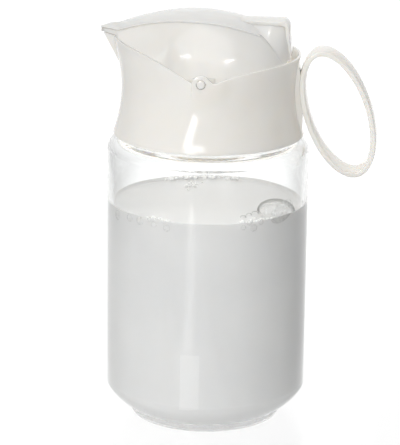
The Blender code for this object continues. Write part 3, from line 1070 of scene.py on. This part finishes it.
@dataclass
class Collar:
    """The waisted collar, whose rim rises to the beak in front and stands up as an ear at each side."""

    pivot: Vector
    foot: float = 127.0 * MM
    waist_height: float = 147.9 * MM
    waist_radius: float = 38.0 * MM
    flare: float = 8.2
    flare_end: float = 164.4 * MM
    upper_slope: float = 0.12
    wall: float = 1.2 * MM
    beak_reach: float = 47.2 * MM
    beak_tip: float = 170.0 * MM
    beak_root_reach: float = 39.0 * MM
    beak_root: float = 154.9 * MM
    beak_half_angle: float = math.radians(40.0)
    beak_wall: float = 2.3 * MM
    beak_end: float = 1.2
    keel_rounding: float = 0.02
    ear_radius: float = 3.9 * MM
    ear_face: float = 39.4 * MM
    hole_radius: float = 2.05 * MM
    drill_reach: float = 50.0 * MM
    beak_blend: float = 0.45 * MM
    rear_height: float = 162.4 * MM
    ledge_top: float = 148.9 * MM
    ledge_bottom: float = 147.3 * MM
    ledge_hole: float = 31.6 * MM
    skirt_bottom: float = 135.4 * MM
    skirt_inner: float = 34.1 * MM
    skirt_outer: float = 35.5 * MM
    lip_low: float = 0.9 * MM
    lip_high: float = 1.9 * MM
    edge: float = 0.45 * MM
    columns: int = 480
    crowding: float = 3.5
    rows: int = 30
    seat_steps: int = 128
    # The seat's glow is painted light: it stands in for the light that comes through the collar's plastic.
    seat_painted_glow: float = 0.62
    rim: SideLine = field(init=False)
    angles: list[float] = field(init=False)

    def __post_init__(self) -> None:
        """Works out the rim's line and where the columns go."""
        front = bezier([(-40.0, 169.6), (-26.0, 169.6), (-13.5, 163.0), (-4.3, 157.3)], 24)
        rear = bezier([(6.6, 157.4), (14.0, 160.6), (24.0, 163.0), (41.0, 162.6)], 24)
        ear = arc((0.0, self.pivot.z), self.ear_radius, 176.0, 40.0, 20)
        dip = bezier([(2.99, 159.4), (4.2, 158.0), (5.0, 157.0), (6.6, 157.4)], 8)
        start = [(-60.0 * MM, 170.1 * MM), (-46.0 * MM, 170.0 * MM)]
        end = [(70.0 * MM, self.rear_height)]
        self.rim = SideLine(tuple(start + front[:-1] + ear + dip[1:-1] + rear + end))
        self.angles = self.crowded_angles()

    def crowded_angles(self) -> list[float]:
        """The columns' angles, closest at the two ears and the beak.

        Returns:
            Angles in radians, from 0 up.
        """
        fine = 3600
        ears_and_beak = (90.0, 270.0, 180.0)
        weights = []
        for i in range(fine):
            away = min(abs(360.0 * i / fine - crowd) for crowd in ears_and_beak)
            weights.append(1.0 + self.crowding * (1.0 - smooth(8.0, 20.0, away)))
        total = sum(weights)
        angles, run, i = [], 0.0, 0
        for column in range(self.columns):
            while run < total * column / self.columns:
                run += weights[i]
                i += 1
            angles.append(math.radians(360.0 * i / fine))
        return angles

    def wall_radius(self, z: float) -> float:
        """The outer radius of the plain wall at height z."""
        flare = self.flare * (min(z, self.flare_end) - self.waist_height) ** 2
        return self.waist_radius + flare + self.upper_slope * max(0.0, z - self.flare_end)

    def beak_radius(self, angle: float, z: float, inset: float) -> float:
        """How far the beak's two faces reach.

        Args:
            angle: The angle round the Z axis.
            z: The height.
            inset: How far in from the outer faces.

        Returns:
            The radius, or 0 away from the beak.
        """
        slope = (self.beak_reach - self.beak_root_reach) / (self.beak_tip - self.beak_root)
        reach = self.beak_root_reach + (z - self.beak_root) * slope - inset
        from_front = math.pi - abs(math.remainder(angle, 2 * math.pi))
        turn = math.hypot(from_front, self.keel_rounding)
        if turn > self.beak_end:
            return 0.0
        return reach * math.sin(self.beak_half_angle) / math.sin(turn + self.beak_half_angle)

    def ear_share(self, x: float, z: float) -> float:
        """1 on the flat pad of an ear and its stem, 0 away from it.

        Args:
            x: Where, along X.
            z: The height.

        Returns:
            The share.
        """
        up = max(0.0, z - self.pivot.z)
        fade = 5.0 * MM * (1.0 - smooth(self.pivot.z - 10.0 * MM, self.pivot.z - 3.0 * MM, z))
        left = smooth(-self.ear_radius - 0.15 * MM - fade, -self.ear_radius + 0.35 * MM + fade, x)
        right = 1.0 - smooth(self.ear_radius - 2.0 * MM, self.ear_radius + 9.0 * MM, x)
        over = 1.0 - smooth(self.ear_radius - 0.3 * MM, self.ear_radius + 0.2 * MM, math.hypot(x, up))
        below = smooth(self.pivot.z - 12.0 * MM, self.pivot.z - 2.0 * MM, z)
        return min(left * right, over if up > 0 and x < 0 else 1.0) * below

    def outer_radius(self, angle: float, z: float) -> float:
        """The outer surface, with beak and ears.

        Args:
            angle: The angle round the Z axis.
            z: The height.

        Returns:
            The radius.
        """
        plain = soft_max(self.wall_radius(z), self.beak_radius(angle, z, 0.0), self.beak_blend)
        side = abs(math.sin(angle))
        if side < 0.9:
            return plain
        pad = self.ear_face / side
        return plain + max(0.0, pad - plain) * self.ear_share(plain * math.cos(angle), z)

    def inner_radius(self, angle: float, z: float) -> float:
        """The inner surface, with the beak's channel."""
        return max(self.wall_radius(z) - self.wall, self.beak_radius(angle, z, self.beak_wall))

    def rim_height(self, angle: float) -> float:
        """Where the wall meets the rim's line, found in a few steps.

        Args:
            angle: The angle round the Z axis.

        Returns:
            The height.
        """
        z = self.rear_height
        for _ in range(6):
            z = self.rim.height(self.outer_radius(angle, min(z, self.beak_tip)) * math.cos(angle))
        return z

    def section(self) -> list[WallPoint]:
        """The wall's section, from its foot up the outside, over the rim and down the inside.

        Returns:
            The points in order.
        """
        e = self.edge
        found = [WallPoint(True, e, Anchor.FOOT, 0.0), WallPoint(True, 0.3 * e, Anchor.FOOT, 0.3 * e)]
        found += [WallPoint(True, 0.0, Anchor.BETWEEN, i / self.rows) for i in range(self.rows + 1)]
        found += [
            WallPoint(True, 0.13 * e, Anchor.RIM, -0.5 * e),
            WallPoint(True, 0.5 * e, Anchor.RIM, -0.13 * e),
            WallPoint(True, e, Anchor.RIM, 0.0),
            WallPoint(False, 0.7 * e, Anchor.RIM, 0.0),
            WallPoint(False, 0.2 * e, Anchor.RIM, -0.2 * e),
        ]
        found += [WallPoint(False, 0.0, Anchor.BETWEEN, 1 - i / self.rows) for i in range(self.rows + 1)]
        return found + [WallPoint(False, 0.0, Anchor.FOOT, 0.0)]

    def shell(self) -> bmesh.types.BMesh:
        """The wall: a turned section whose every point is then put on the collar's surface.

        Returns:
            The mesh.
        """
        section = self.section()
        start = [(self.waist_radius - 0.01 * (not p.outer), i * MM) for i, p in enumerate(section)]
        bm = spun(start, self.columns, closed=True)
        row = bm.verts.layers.int["row"]
        rims = [self.rim_height(a) for a in self.angles]
        for vert in bm.verts:
            column = round(math.atan2(vert.co.y, vert.co.x) / (2 * math.pi) * self.columns) % self.columns
            angle, rim, point = self.angles[column], rims[column], section[vert[row]]
            if point.anchor is Anchor.FOOT:
                z = self.foot + point.height
            elif point.anchor is Anchor.RIM:
                z = rim + point.height
            else:
                z = lerp(self.foot + self.edge, rim - self.edge, point.height)
            if point.outer:
                r = self.outer_radius(angle, z) - point.inset
            else:
                r = self.inner_radius(angle, z) + point.inset
            vert.co = (r * math.cos(angle), r * math.sin(angle), z)
        return bm

    def seat(self) -> bmesh.types.BMesh:
        """The ledge on the jar's lip, with the skirt that goes round its neck.

        Returns:
            The mesh.
        """
        into = self.wall_radius(self.waist_height) - self.wall * 0.5
        top, under, low = self.ledge_top, self.ledge_bottom, self.skirt_bottom
        hole, skirt, outer = self.ledge_hole, self.skirt_inner, self.skirt_outer
        points = [(into, top), (into, under), (outer, under), (outer, low), (skirt, low)]
        ledge = spun(points + [(skirt, under), (hole, under), (hole, top)], self.seat_steps, closed=True)
        low, high = self.foot + self.lip_low, self.foot + self.lip_high
        reach = self.wall_radius(low) - self.wall * 0.5
        lip = spun([(reach, high), (reach, low), (skirt, low), (skirt, high)], self.seat_steps, closed=True)
        return joined([ledge, lip])

    def build(self, finish: bpy.types.Material) -> None:
        """Makes the collar, with a hole in each ear. Light shines through it, so it casts no shadow. Its
        seat glows: painted light that stands in for the light coming through the plastic.

        Args:
            finish: The plastic.
        """
        shell = Piece("collar_shell", Body.JUG, "white_plastic", ("collar",), 30.0)
        made = shell.build(self.shell(), finish)
        cut_with(made, cylinder(self.hole_radius, -self.drill_reach, self.drill_reach, self.pivot.z))
        made.visible_shadow = False
        # Painted light: the seat's plastic glows for the light that would come through the collar's wall.
        lit = GlossyPlastic("seat_plastic_painted_glow", glow=self.seat_painted_glow).build()
        seat = Piece("collar_seat", Body.JUG, "white_plastic").build(self.seat(), lit)
        seat.visible_diffuse = False
        seat.visible_shadow = False
        round_edges(seat, 0.3 * MM)


def cut_with(piece: bpy.types.Object, cutter: bmesh.types.BMesh) -> None:
    """Cuts a mesh away from a piece, and applies the cut.

    Args:
        piece: The piece to cut.
        cutter: The mesh to take away, which is freed.
    """
    tool = solid("cutter", cutter)
    step = piece.modifiers.new("cut", "BOOLEAN")
    step.operation = "DIFFERENCE"
    step.solver = "EXACT"
    step.object = tool
    bpy.context.view_layer.update()
    graph = bpy.context.evaluated_depsgraph_get()
    result = bpy.data.meshes.new_from_object(piece.evaluated_get(graph))
    piece.modifiers.clear()
    piece.data = result
    mesh = tool.data
    bpy.data.objects.remove(tool, do_unlink=True)
    bpy.data.meshes.remove(mesh)


@dataclass
class RingHandle:
    """The oval ring handle, a crowned band on edge, and the web that joins it to the collar."""

    collar: Collar
    centre: Vector = field(default_factory=lambda: Vector((56.3 * MM, 0.0, 138.1 * MM)))
    long_axis: float = 28.8 * MM
    short_axis: float = 14.25 * MM
    tilt: float = math.radians(19.8)
    band: float = 2.1 * MM
    crown: float = 0.45 * MM
    width: float = 14.0 * MM
    edge: float = 0.5 * MM
    web_width: float = 9.6 * MM
    web_top: float = 161.2 * MM
    web_over_foot: float = 0.6 * MM
    web_in_wall: float = 0.7 * MM
    web_clear: float = 2.0 * MM
    steps: int = 220

    def on_ring(self, turn: float, out: float) -> Point:
        """The (x, z) point on the outer ellipse, or off it along its normal.

        Args:
            turn: The ellipse's own angle, from its top.
            out: How far out of it, or into it if negative.

        Returns:
            The point.
        """
        along, across = math.cos(turn), math.sin(turn)
        normal = Vector((along / self.long_axis, across / self.short_axis)).normalized() * out
        a, b = self.long_axis * along + normal.x, self.short_axis * across + normal.y
        cos, sin = math.cos(self.tilt), math.sin(self.tilt)
        return self.centre.x - a * sin + b * cos, self.centre.z + a * cos + b * sin

    def section(self) -> list[Point]:
        """The band's section as (out, y) points: two crowned faces with rounded edges.

        Returns:
            The points in order.
        """
        half, e = self.width / 2, self.edge
        found = []
        for side in (1.0, -1.0):
            for i in range(13):
                y = lerp(half - e, e - half, i / 12) * side
                bow = self.crown * (1.0 - (y / half) ** 2)
                found.append((bow if side > 0 else -self.band - bow, y))
            found += self.rounded_edge(-side)
        return found

    def rounded_edge(self, side: float) -> list[Point]:
        """The points round the band's edge at one side, between its faces.

        Args:
            side: -1 or 1, the side along Y.

        Returns:
            The points in order.
        """
        half, e, middle = self.width / 2, self.edge, -self.band / 2
        high, low = self.band / 2, -self.band / 2
        corners = arc((high - e, half - e), e, 0.0, 90.0, 3)[1:]
        corners += arc((low + e, half - e), e, 90.0, 180.0, 3)[:-1]
        if side < 0:
            return [(middle + o, -y) for o, y in corners]
        return [(middle + o, y) for o, y in reversed(corners)]

    def ring(self) -> bmesh.types.BMesh:
        """The band: its section, turned and then laid along the ellipse.

        Returns:
            The mesh.
        """
        section = self.section()
        start = [(1.0 + 0.001 * i, 0.001 * i * i) for i in range(len(section))]
        bm = spun(start, self.steps, closed=True)
        row = bm.verts.layers.int["row"]
        for vert in bm.verts:
            turn = math.atan2(vert.co.y, vert.co.x)
            out, y = section[vert[row]]
            x, z = self.on_ring(turn, out)
            vert.co = (x, y, z)
        bmesh.ops.recalc_face_normals(bm, faces=bm.faces)
        return bm

    def web(self) -> bmesh.types.BMesh:
        """The slab between the collar's wall and the ring.

        Returns:
            The mesh.
        """
        top, low = self.web_top, self.collar.foot + self.web_over_foot
        heights = [lerp(top, low, i / 24) for i in range(25)]
        wall = [(self.collar.wall_radius(z) - self.web_in_wall, z) for z in heights]
        ring = [self.on_ring(2 * math.pi * i / 240, -self.band * 0.5) for i in range(240)]
        edge = self.centre.x - self.web_clear
        near = sorted((p for p in ring if p[0] < edge and low < p[1] < top), key=lambda p: p[1])
        return slab(wall + near, self.web_width / 2)

    def build(self, finish: bpy.types.Material) -> None:
        """Makes the ring and its web.

        Args:
            finish: The plastic.
        """
        Piece("ring_handle", Body.JUG, "white_plastic", (), 50.0).build(self.ring(), finish)
        web = Piece("handle_web", Body.JUG, "white_plastic").build(self.web(), finish)
        round_edges(web, 0.6 * MM)


# The lid


@dataclass
class Lid:
    """The leaf-shaped flip lid: side petals, crowned roof with two wings, thumb tab, core and pins."""

    pivot: Vector
    tip: float = 46.9 * MM
    beak_start: float = -39.9 * MM
    front_radius: float = 40.4 * MM
    inner_radius: float = 36.05 * MM
    beak_half_angle: float = math.radians(40.0)
    wing_tip: float = 22.8 * MM
    wing_notch: float = 18.6 * MM
    petal_end: float = 32.4 * MM
    wall: float = 1.3 * MM
    roof_thickness: float = 1.0 * MM
    overhang: float = 0.6 * MM
    tab_half_width: float = 6.5 * MM
    tab_top: float = 177.8 * MM
    tab_crown: float = 0.45 * MM
    tab_rear_top: float = 34.5 * MM
    tab_rear_bottom: float = 35.6 * MM
    tab_bottom: float = 161.3 * MM
    tab_thickness: float = 1.7 * MM
    tab_corner: float = 3.0 * MM
    tab_foot: float = 162.8 * MM
    roof_edge_low: float = 171.8 * MM
    nose_low: float = 173.1 * MM
    nose_high: float = 174.6 * MM
    nose_end: float = -41.0 * MM
    nose_share: float = 0.14
    petal_end_half: float = 16.2 * MM
    petal_end_rise: float = 0.8 * MM
    petal_bow: float = 0.60
    core_start: float = 8.0 * MM
    core_end: float = 34.4 * MM
    core_rear_half: float = 3.0 * MM
    core_narrowing: float = 26.0 * MM
    core_narrowing_length: float = 9.6 * MM
    core_top_half: float = 5.5 * MM
    core_under_tab: float = 0.8 * MM
    core_bow: float = 0.40
    flange_face: float = 35.47 * MM
    flange_thickness: float = 1.8 * MM
    flange_half: float = 5.5 * MM
    flange_bottom: float = 152.6 * MM
    flange_top: float = 158.7 * MM
    pin_radius: float = 1.75 * MM
    pin_start: float = 34.6 * MM
    pin_end: float = 39.6 * MM
    edge: SideLine = field(init=False)

    def __post_init__(self) -> None:
        """Works out the lower edge: on the collar's rim in front, hidden inside it behind."""
        front = bezier([(-40.0, 170.0), (-29.0, 170.0), (-21.0, 166.7), (-15.6, 163.8)], 20)
        front += bezier([(-14.6, 163.1), (-12.6, 160.8), (-8.0, 157.4), (-4.5, 156.3)], 10)
        rear = bezier([(3.0, 156.0), (12.0, 158.0), (24.0, 161.4), (41.0, 161.4)], 24)
        start = [(-60.0 * MM, 170.5 * MM), (-46.0 * MM, 170.4 * MM)]
        self.edge = SideLine(tuple(start + front + rear))

    def roof_edge(self, x: float) -> float:
        """The height of the roof's side edge."""
        return max(parabola(x, 178.4 * MM, -7.0 * MM, 156.0 * MM), self.roof_edge_low)

    def roof_crest(self, x: float) -> float:
        """The height of the roof's middle line."""
        nose = lerp(self.nose_low, self.nose_high, smooth(-self.tip, self.nose_end, x))
        return max(parabola(x, 180.6 * MM, -6.5 * MM, 175.0 * MM), nose)

    def roof_half_width(self, x: float) -> float:
        """Half the width of the leaf-shaped roof.

        Args:
            x: Where, along X.

        Returns:
            The half width.
        """
        bow = parabola(x, 15.3 * MM, 3.0 * MM, 200.0 * MM)
        point = (x + self.tip) * math.tan(self.beak_half_angle) * 0.85
        return max(0.35 * MM, min(bow, point))

    def base_half_width(self, x: float) -> float:
        """Half the width of the lid at its lower edge.

        Args:
            x: Where, along X.

        Returns:
            The half width.
        """
        if x < self.beak_start:
            return max(0.6 * MM, (x + self.tip) * math.tan(self.beak_half_angle))
        radius = lerp(self.front_radius, self.inner_radius, smooth(-26.0 * MM, -2.0 * MM, x))
        return math.sqrt(radius * radius - x * x)

    def petal_top(self, x: float) -> Point:
        """Half width and height where the lid's side ends at the top.

        Args:
            x: Where, along X.

        Returns:
            (half width, height).
        """
        if x <= self.wing_tip:
            return self.roof_half_width(x), self.roof_edge(x)
        t = (x - self.wing_tip) / (self.petal_end - self.wing_tip)
        width = lerp(self.roof_half_width(self.wing_tip), self.petal_end_half, t)
        low = self.edge.height(x) + self.petal_end_rise
        return width, lerp(self.roof_edge(self.wing_tip), low, 0.55 * t + 0.45 * t * t)

    def bowed(self, base: Point, top: Point, bow: float, t: float) -> Point:
        """A point on the curve from base to top, which bows out for bow over 0.5 and in below it.

        Args:
            base: The lower end.
            top: The upper end.
            bow: How much it bows.
            t: The share of the way up.

        Returns:
            (half width, height).
        """
        control = (lerp(top[0], base[0], bow), lerp(base[1], top[1], bow))
        a, b, c = (1 - t) ** 2, 2 * t * (1 - t), t * t
        return tuple(a * base[k] + b * control[k] + c * top[k] for k in (0, 1))

    def across(self, base: Point, top: Point, bow: float, v: float, x: float) -> Vector:
        """A point on the way over the lid: up one side, over the top and down the other.

        Args:
            base: Half width and height at the lower edge.
            top: The same at the top.
            bow: How much the sides bow out.
            v: The share of the way over.
            x: Where, along X.

        Returns:
            The point.
        """
        side = -1.0 if v < 0.5 else 1.0
        share = min(v, 1.0 - v)
        if share < 0.4:
            y, z = self.bowed(base, top, bow, share / 0.4)
        else:
            y, z = lerp(top[0], 0.0, (share - 0.4) / 0.1), top[1]
        return Vector((x, side * y, z))

    def petal_point(self, u: float, v: float) -> Vector:
        """The petals' surface, from nose to rear and from side to side.

        Args:
            u: The share of the way back.
            v: The share of the way over.

        Returns:
            The point.
        """
        nose = self.nose_share
        if u < nose:
            x = lerp(-self.tip, self.beak_start, u / nose)
        else:
            x = lerp(self.beak_start, self.petal_end, (u - nose) / (1 - nose))
        half = self.base_half_width(x)
        width, height = self.petal_top(x)
        top = (min(width, half), height)
        return self.across((half, self.edge.height(x)), top, self.petal_bow, v, x)

    def core_point(self, u: float, v: float) -> Vector:
        """The core's surface under the thumb tab: concave sides that close in a round rear end.

        Args:
            u: The share of the way back.
            v: The share of the way over.

        Returns:
            The point.
        """
        x = lerp(self.core_start, self.core_end, math.sin(u * math.pi / 2))
        reach = self.inner_radius - 0.3 * MM
        half = math.sqrt(max(self.core_rear_half**2, reach * reach - x * x))
        past = max(0.0, x - self.core_narrowing) / self.core_narrowing_length
        close = math.sqrt(max(0.0, 1.0 - past**2))
        bend = min(max(0.0, x - (self.tab_rear_top - self.tab_corner)), 0.96 * self.tab_corner)
        drop = self.tab_corner - math.sqrt(self.tab_corner**2 - bend**2)
        top = (max(0.6 * MM, self.core_top_half * close), self.tab_top - self.core_under_tab - drop)
        return self.across((half, self.edge.height(x)), top, self.core_bow, v, x)

    def roof_point(self, u: float, v: float) -> Vector:
        """The roof's top surface: a crowned leaf with a notch between its two wings.

        Args:
            u: The share of the way back.
            v: The share of the way across.

        Returns:
            The point.
        """
        share = abs(2.0 * v - 1.0)
        inner = (self.tab_half_width - 0.6 * MM) / self.roof_half_width(self.wing_notch)
        wing = max(0.0, (share - inner) / (1.0 - inner))
        end = lerp(self.wing_notch, self.wing_tip, wing)
        x = lerp(-self.tip - 0.3 * MM, end, u**1.15)
        half = self.roof_half_width(x) + self.overhang
        low = self.roof_edge(x) - 0.35 * MM + self.roof_thickness
        z = lerp(self.roof_crest(x), low, share * share)
        return Vector((x, half * (2.0 * v - 1.0), z))

    def tab_path(self) -> list[Point]:
        """The thumb tab's outer side: back from the roof, round the corner and down to the rim.

        Returns:
            (x, z) points.
        """
        corner = (self.tab_rear_top - self.tab_corner, self.tab_top - self.tab_corner)
        start = bezier([(6.0, 178.3), (11.0, 177.9), (15.0, 177.8), (20.0, 177.8)], 10)
        flat = [(lerp(20.0 * MM, corner[0], i / 8), self.tab_top) for i in range(1, 8)]
        turn = arc(corner, self.tab_corner, 90.0, 5.0, 12)
        foot = (self.tab_rear_bottom + 0.3 * MM, self.tab_foot)
        down = [tuple(lerp(turn[-1][k], foot[k], i / 8) for k in (0, 1)) for i in range(1, 9)]
        return start + flat + turn + down + [(self.tab_rear_bottom, self.tab_bottom)]

    def tab_surface(self, path: list[Point]) -> Callable[[float, float], Vector]:
        """The tab's crowned outer surface, laid along a path.

        Args:
            path: (x, z) points along the tab's middle.

        Returns:
            The surface, from two shares to a point.
        """

        def place(u: float, v: float) -> Vector:
            """A point of the surface.

            Args:
                u: The share along the path.
                v: The share across it.

            Returns:
                The point.
            """
            i = round(u * (len(path) - 1))
            before, after = path[max(0, i - 1)], path[min(len(path) - 1, i + 1)]
            along = Vector((after[0] - before[0], after[1] - before[1])).normalized()
            side = 2.0 * v - 1.0
            out = self.tab_crown * (1.0 - side * side) * (1.0 - smooth(0.75, 1.0, u))
            x, z = path[i][0] - along.y * out, path[i][1] + along.x * out
            return Vector((x, side * self.tab_half_width, z))

        return place

    def pins(self) -> bmesh.types.BMesh:
        """The two pins, and the flanges inside the collar that carry them.

        Returns:
            The mesh.
        """
        half, low, top = self.flange_half, self.flange_bottom, self.flange_top
        outline = [(-half * 0.6, top)] + arc((0.0, low + half), half, 180.0, 360.0, 24) + [(half, top)]
        thickness = self.flange_thickness
        parts = []
        for side in (-1.0, 1.0):
            flange = slab(outline, thickness / 2)
            middle = side * (self.flange_face - thickness / 2)
            bmesh.ops.translate(flange, verts=flange.verts, vec=(0.0, middle, 0.0))
            parts.append(flange)
            start, end = side * self.pin_start, side * self.pin_end
            parts.append(rod(self.pin_radius, start, end, self.pivot.z, 0.3 * MM))
        return joined(parts)

    def build(self, finish: bpy.types.Material) -> None:
        """Makes the lid's pieces.

        Args:
            finish: The plastic.
        """
        path = self.tab_path()
        tab = sheet(len(path) - 1, 16, self.tab_surface(path))
        plan = (
            ("lid_petals", sheet(140, 50, self.petal_point), self.wall, 0.25 * MM, ("lid",)),
            ("lid_core", sheet(60, 50, self.core_point), self.wall, 0.2 * MM, ()),
            ("lid_roof", sheet(120, 40, self.roof_point), self.roof_thickness, 0.28 * MM, ()),
            ("thumb_tab", tab, self.tab_thickness, 0.35 * MM, ()),
        )
        for name, bm, thickness, edge, replaced in plan:
            made = Piece(name, Body.LID, "white_plastic", replaced, 40.0).build(face_up(bm), finish)
            add_wall(made, thickness)
            round_edges(made, edge)
        Piece("lid_pins", Body.LID, "white_plastic").build(self.pins(), finish)


# Around the jug


@dataclass(frozen=True)
class SoftBox:
    """A rectangular studio light that faces the jug."""

    name: str
    azimuth: float  # degrees from the front, positive towards the handle
    elevation: float
    distance: float
    size: Point
    radiance: float
    target: float = 0.1
    mirrored: bool = True
    roll: float = 0.0
    shining: bool = True

    def build(self) -> None:
        """Makes the light, which the camera doesn't see.

        One that isn't shining shows in reflections alone, and one that isn't mirrored only shines.
        """
        lamp = bpy.data.lights.new(self.name, "AREA")
        lamp.shape = "RECTANGLE"
        lamp.size, lamp.size_y = self.size
        lamp.energy = self.radiance * math.pi * self.size[0] * self.size[1]
        made = linked(self.name, lamp)
        back = direction(math.radians(self.azimuth), math.radians(self.elevation))
        made.location = Vector((0.0, 0.0, self.target)) + back * self.distance
        lean = Quaternion((0.0, 0.0, 1.0), math.radians(self.roll))
        made.rotation_euler = (back.to_track_quat("Z", "Y") @ lean).to_euler()
        made.visible_camera = False
        made.visible_transmission = False
        made.visible_glossy = self.mirrored
        made.visible_diffuse = self.shining


@dataclass(frozen=True)
class Card:
    """A flat studio card beside the jug, which only reflections or shading see."""

    name: str
    glow: float
    centre: tuple[float, float, float]
    size: Point
    turn: tuple[float, float, float]
    taper: float = 1.0

    def build(self) -> None:
        """Makes the card. A glowing one shows in reflections alone, a black one also shades."""
        bm = bmesh.new()
        bmesh.ops.create_grid(bm, x_segments=1, y_segments=1, size=0.5)
        for vert in bm.verts:
            vert.co.x *= self.taper if vert.co.y < 0 else 1.0
        place = Matrix.Translation(self.centre) @ Euler(self.turn).to_matrix().to_4x4()
        bm.transform(place @ Matrix.Diagonal((*self.size, 1.0, 1.0)))
        made = solid(self.name, bm, CardFinish(self.name, self.glow).build())
        made.visible_camera = False
        made.visible_transmission = False
        made.visible_glossy = self.glow > 0
        made.visible_diffuse = made.visible_shadow = not self.glow


@dataclass
class Studio:
    """The table, the lights, the pale surroundings and the camera."""

    lights: tuple[SoftBox, ...] = (
        SoftBox("key_light", -14.0, 33.0, 1.3, (0.5, 0.4), 3.9),
        SoftBox("front_light", -7.0, 12.0, 1.3, (0.7, 0.5), 2.15, mirrored=False),
        SoftBox("back_light", 180.0, 20.0, 1.0, (0.8, 0.4), 3.5, mirrored=False),
        SoftBox("top_light", 0.0, 80.0, 1.3, (0.6, 0.6), 1.35),
        SoftBox("lid_light", 32.0, 69.0, 1.0, (0.22, 0.03), 14.0, 0.17, shining=False),
        SoftBox("strip_light", -16.0, 7.0, 0.7, (0.1, 0.29), 9.0, 0.13, roll=28.0, shining=False),
        SoftBox("foot_light", -8.0, 17.5, 0.7, (0.2, 0.035), 9.0, 0.13, shining=False),
    )
    cards: tuple[Card, ...] = (
        Card("dark_card", 0.0, (0.076, 0.02, 0.051), (0.36, 0.1), (math.pi / 2, 0.0, math.pi / 2)),
        Card(
            "glow_card", 2.0, (-0.0175, -0.104, 0.001), (0.0165, 0.084), (0.0, 0.0, -0.227), taper=3.0
        ),
    )
    camera_azimuth: float = math.radians(5.0)
    camera_elevation: float = math.radians(16.3)
    camera_roll: float = math.radians(0.75)
    camera_distance: float = 1.056
    aim_height: float = 0.08584
    focal_pixels: float = 2397.0
    frame_pixels: tuple[int, int] = (400, 445)
    principal_x: float = 207.2
    table_half: float = 6.0

    def build_table(self) -> None:
        """The pale table top that the jug stands on."""
        bm = bmesh.new()
        bmesh.ops.create_grid(bm, x_segments=1, y_segments=1, size=self.table_half)
        solid("table_top", bm, GlowingTable().build())

    def build_surroundings(self) -> None:
        """A pale room: bright behind and above, darker in front and most so at the front right."""
        world = bpy.data.worlds.new("pale_room")
        bpy.context.scene.world = world
        tree = Nodes(world)
        way = tree.node("ShaderNodeTexCoord").outputs["Generated"]
        parts = tree.node("ShaderNodeSeparateXYZ", None, {0: way})
        x, y, z = (Value(tree, parts.outputs[i]) for i in range(3))
        behind = y.rise(0.45, 0.85)
        left = (x * -1.0).rise(-0.1, 0.8)
        up = z.rise(0.2, 0.9)
        near = (y * -1.0).rise(0.0, 0.9)
        front = left * 0.25 + up * 0.5 + near * 0.3 + 0.08
        light = behind + (1.0 - behind) * front
        seen = Value(tree, tree.node("ShaderNodeLightPath").outputs["Is Camera Ray"])
        strength = seen + (1.0 - seen) * light
        inputs = {"Color": (1.0, 1.0, 1.0, 1.0), "Strength": strength}
        tree.finish(tree.node("ShaderNodeBackground", None, inputs).outputs[0], "ShaderNodeOutputWorld")

    def build_camera(self) -> None:
        """The camera, a long lens a little above the lid's height."""
        data = bpy.data.cameras.new("camera")
        width, height = self.frame_pixels
        data.sensor_width = 36.0
        data.lens = self.focal_pixels / height * data.sensor_width
        data.shift_x = (width / 2 - self.principal_x) / height
        data.clip_start = 0.01
        made = linked("camera", data)
        back = direction(self.camera_azimuth, self.camera_elevation)
        right = Vector((math.cos(self.camera_azimuth), math.sin(self.camera_azimuth), 0.0))
        up = back.cross(right)
        c, s = math.cos(self.camera_roll), math.sin(self.camera_roll)
        turned_right, turned_up = right * c + up * s, up * c - right * s
        turn = Matrix((turned_right, turned_up, back)).transposed().to_4x4()
        place = Vector((0.0, 0.0, self.aim_height)) + back * self.camera_distance
        made.matrix_world = Matrix.Translation(place) @ turn
        bpy.context.scene.camera = made

    def build(self) -> None:
        """Makes everything around the jug."""
        self.build_table()
        self.build_surroundings()
        for light in self.lights:
            light.build()
        for card in self.cards:
            card.build()
        self.build_camera()
        bpy.context.scene.view_settings.view_transform = "Standard"


def main() -> None:
    """Builds the jug on its frame, and the studio."""
    logging.basicConfig(level=logging.INFO, format="%(name)s: %(message)s")
    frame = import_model()
    pivot = Vector(frame["joints"][0]["pos_m"])
    jar_low, jar_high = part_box("glass_jar")
    milk_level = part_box("milk")[1].z - BELOW_MILK_TOP
    plastic = GlossyPlastic().build()
    jar = Jar(radius=(jar_high.x - jar_low.x) / 2, neck_top=jar_high.z)
    jar.build(ClearGlass().build())
    milk = FreshMilk().build()
    Milk(jar, milk_level).build(milk)
    white, pale = (0.95, 0.95, 0.94, 1.0), (0.9, 0.9, 0.89, 1.0)
    # The beads' glow is painted light, for the light that shines through them from behind.
    foam = FreshMilk(name="foam", colour=white, shade=pale, glow=0.1).build()
    Froth(jar, milk_level).build(BubbleFilm().build(), foam)
    collar = Collar(pivot)
    collar.build(plastic)
    RingHandle(collar).build(plastic)
    Lid(pivot).build(plastic)
    Studio().build()


if __name__ == "__main__":
    main()
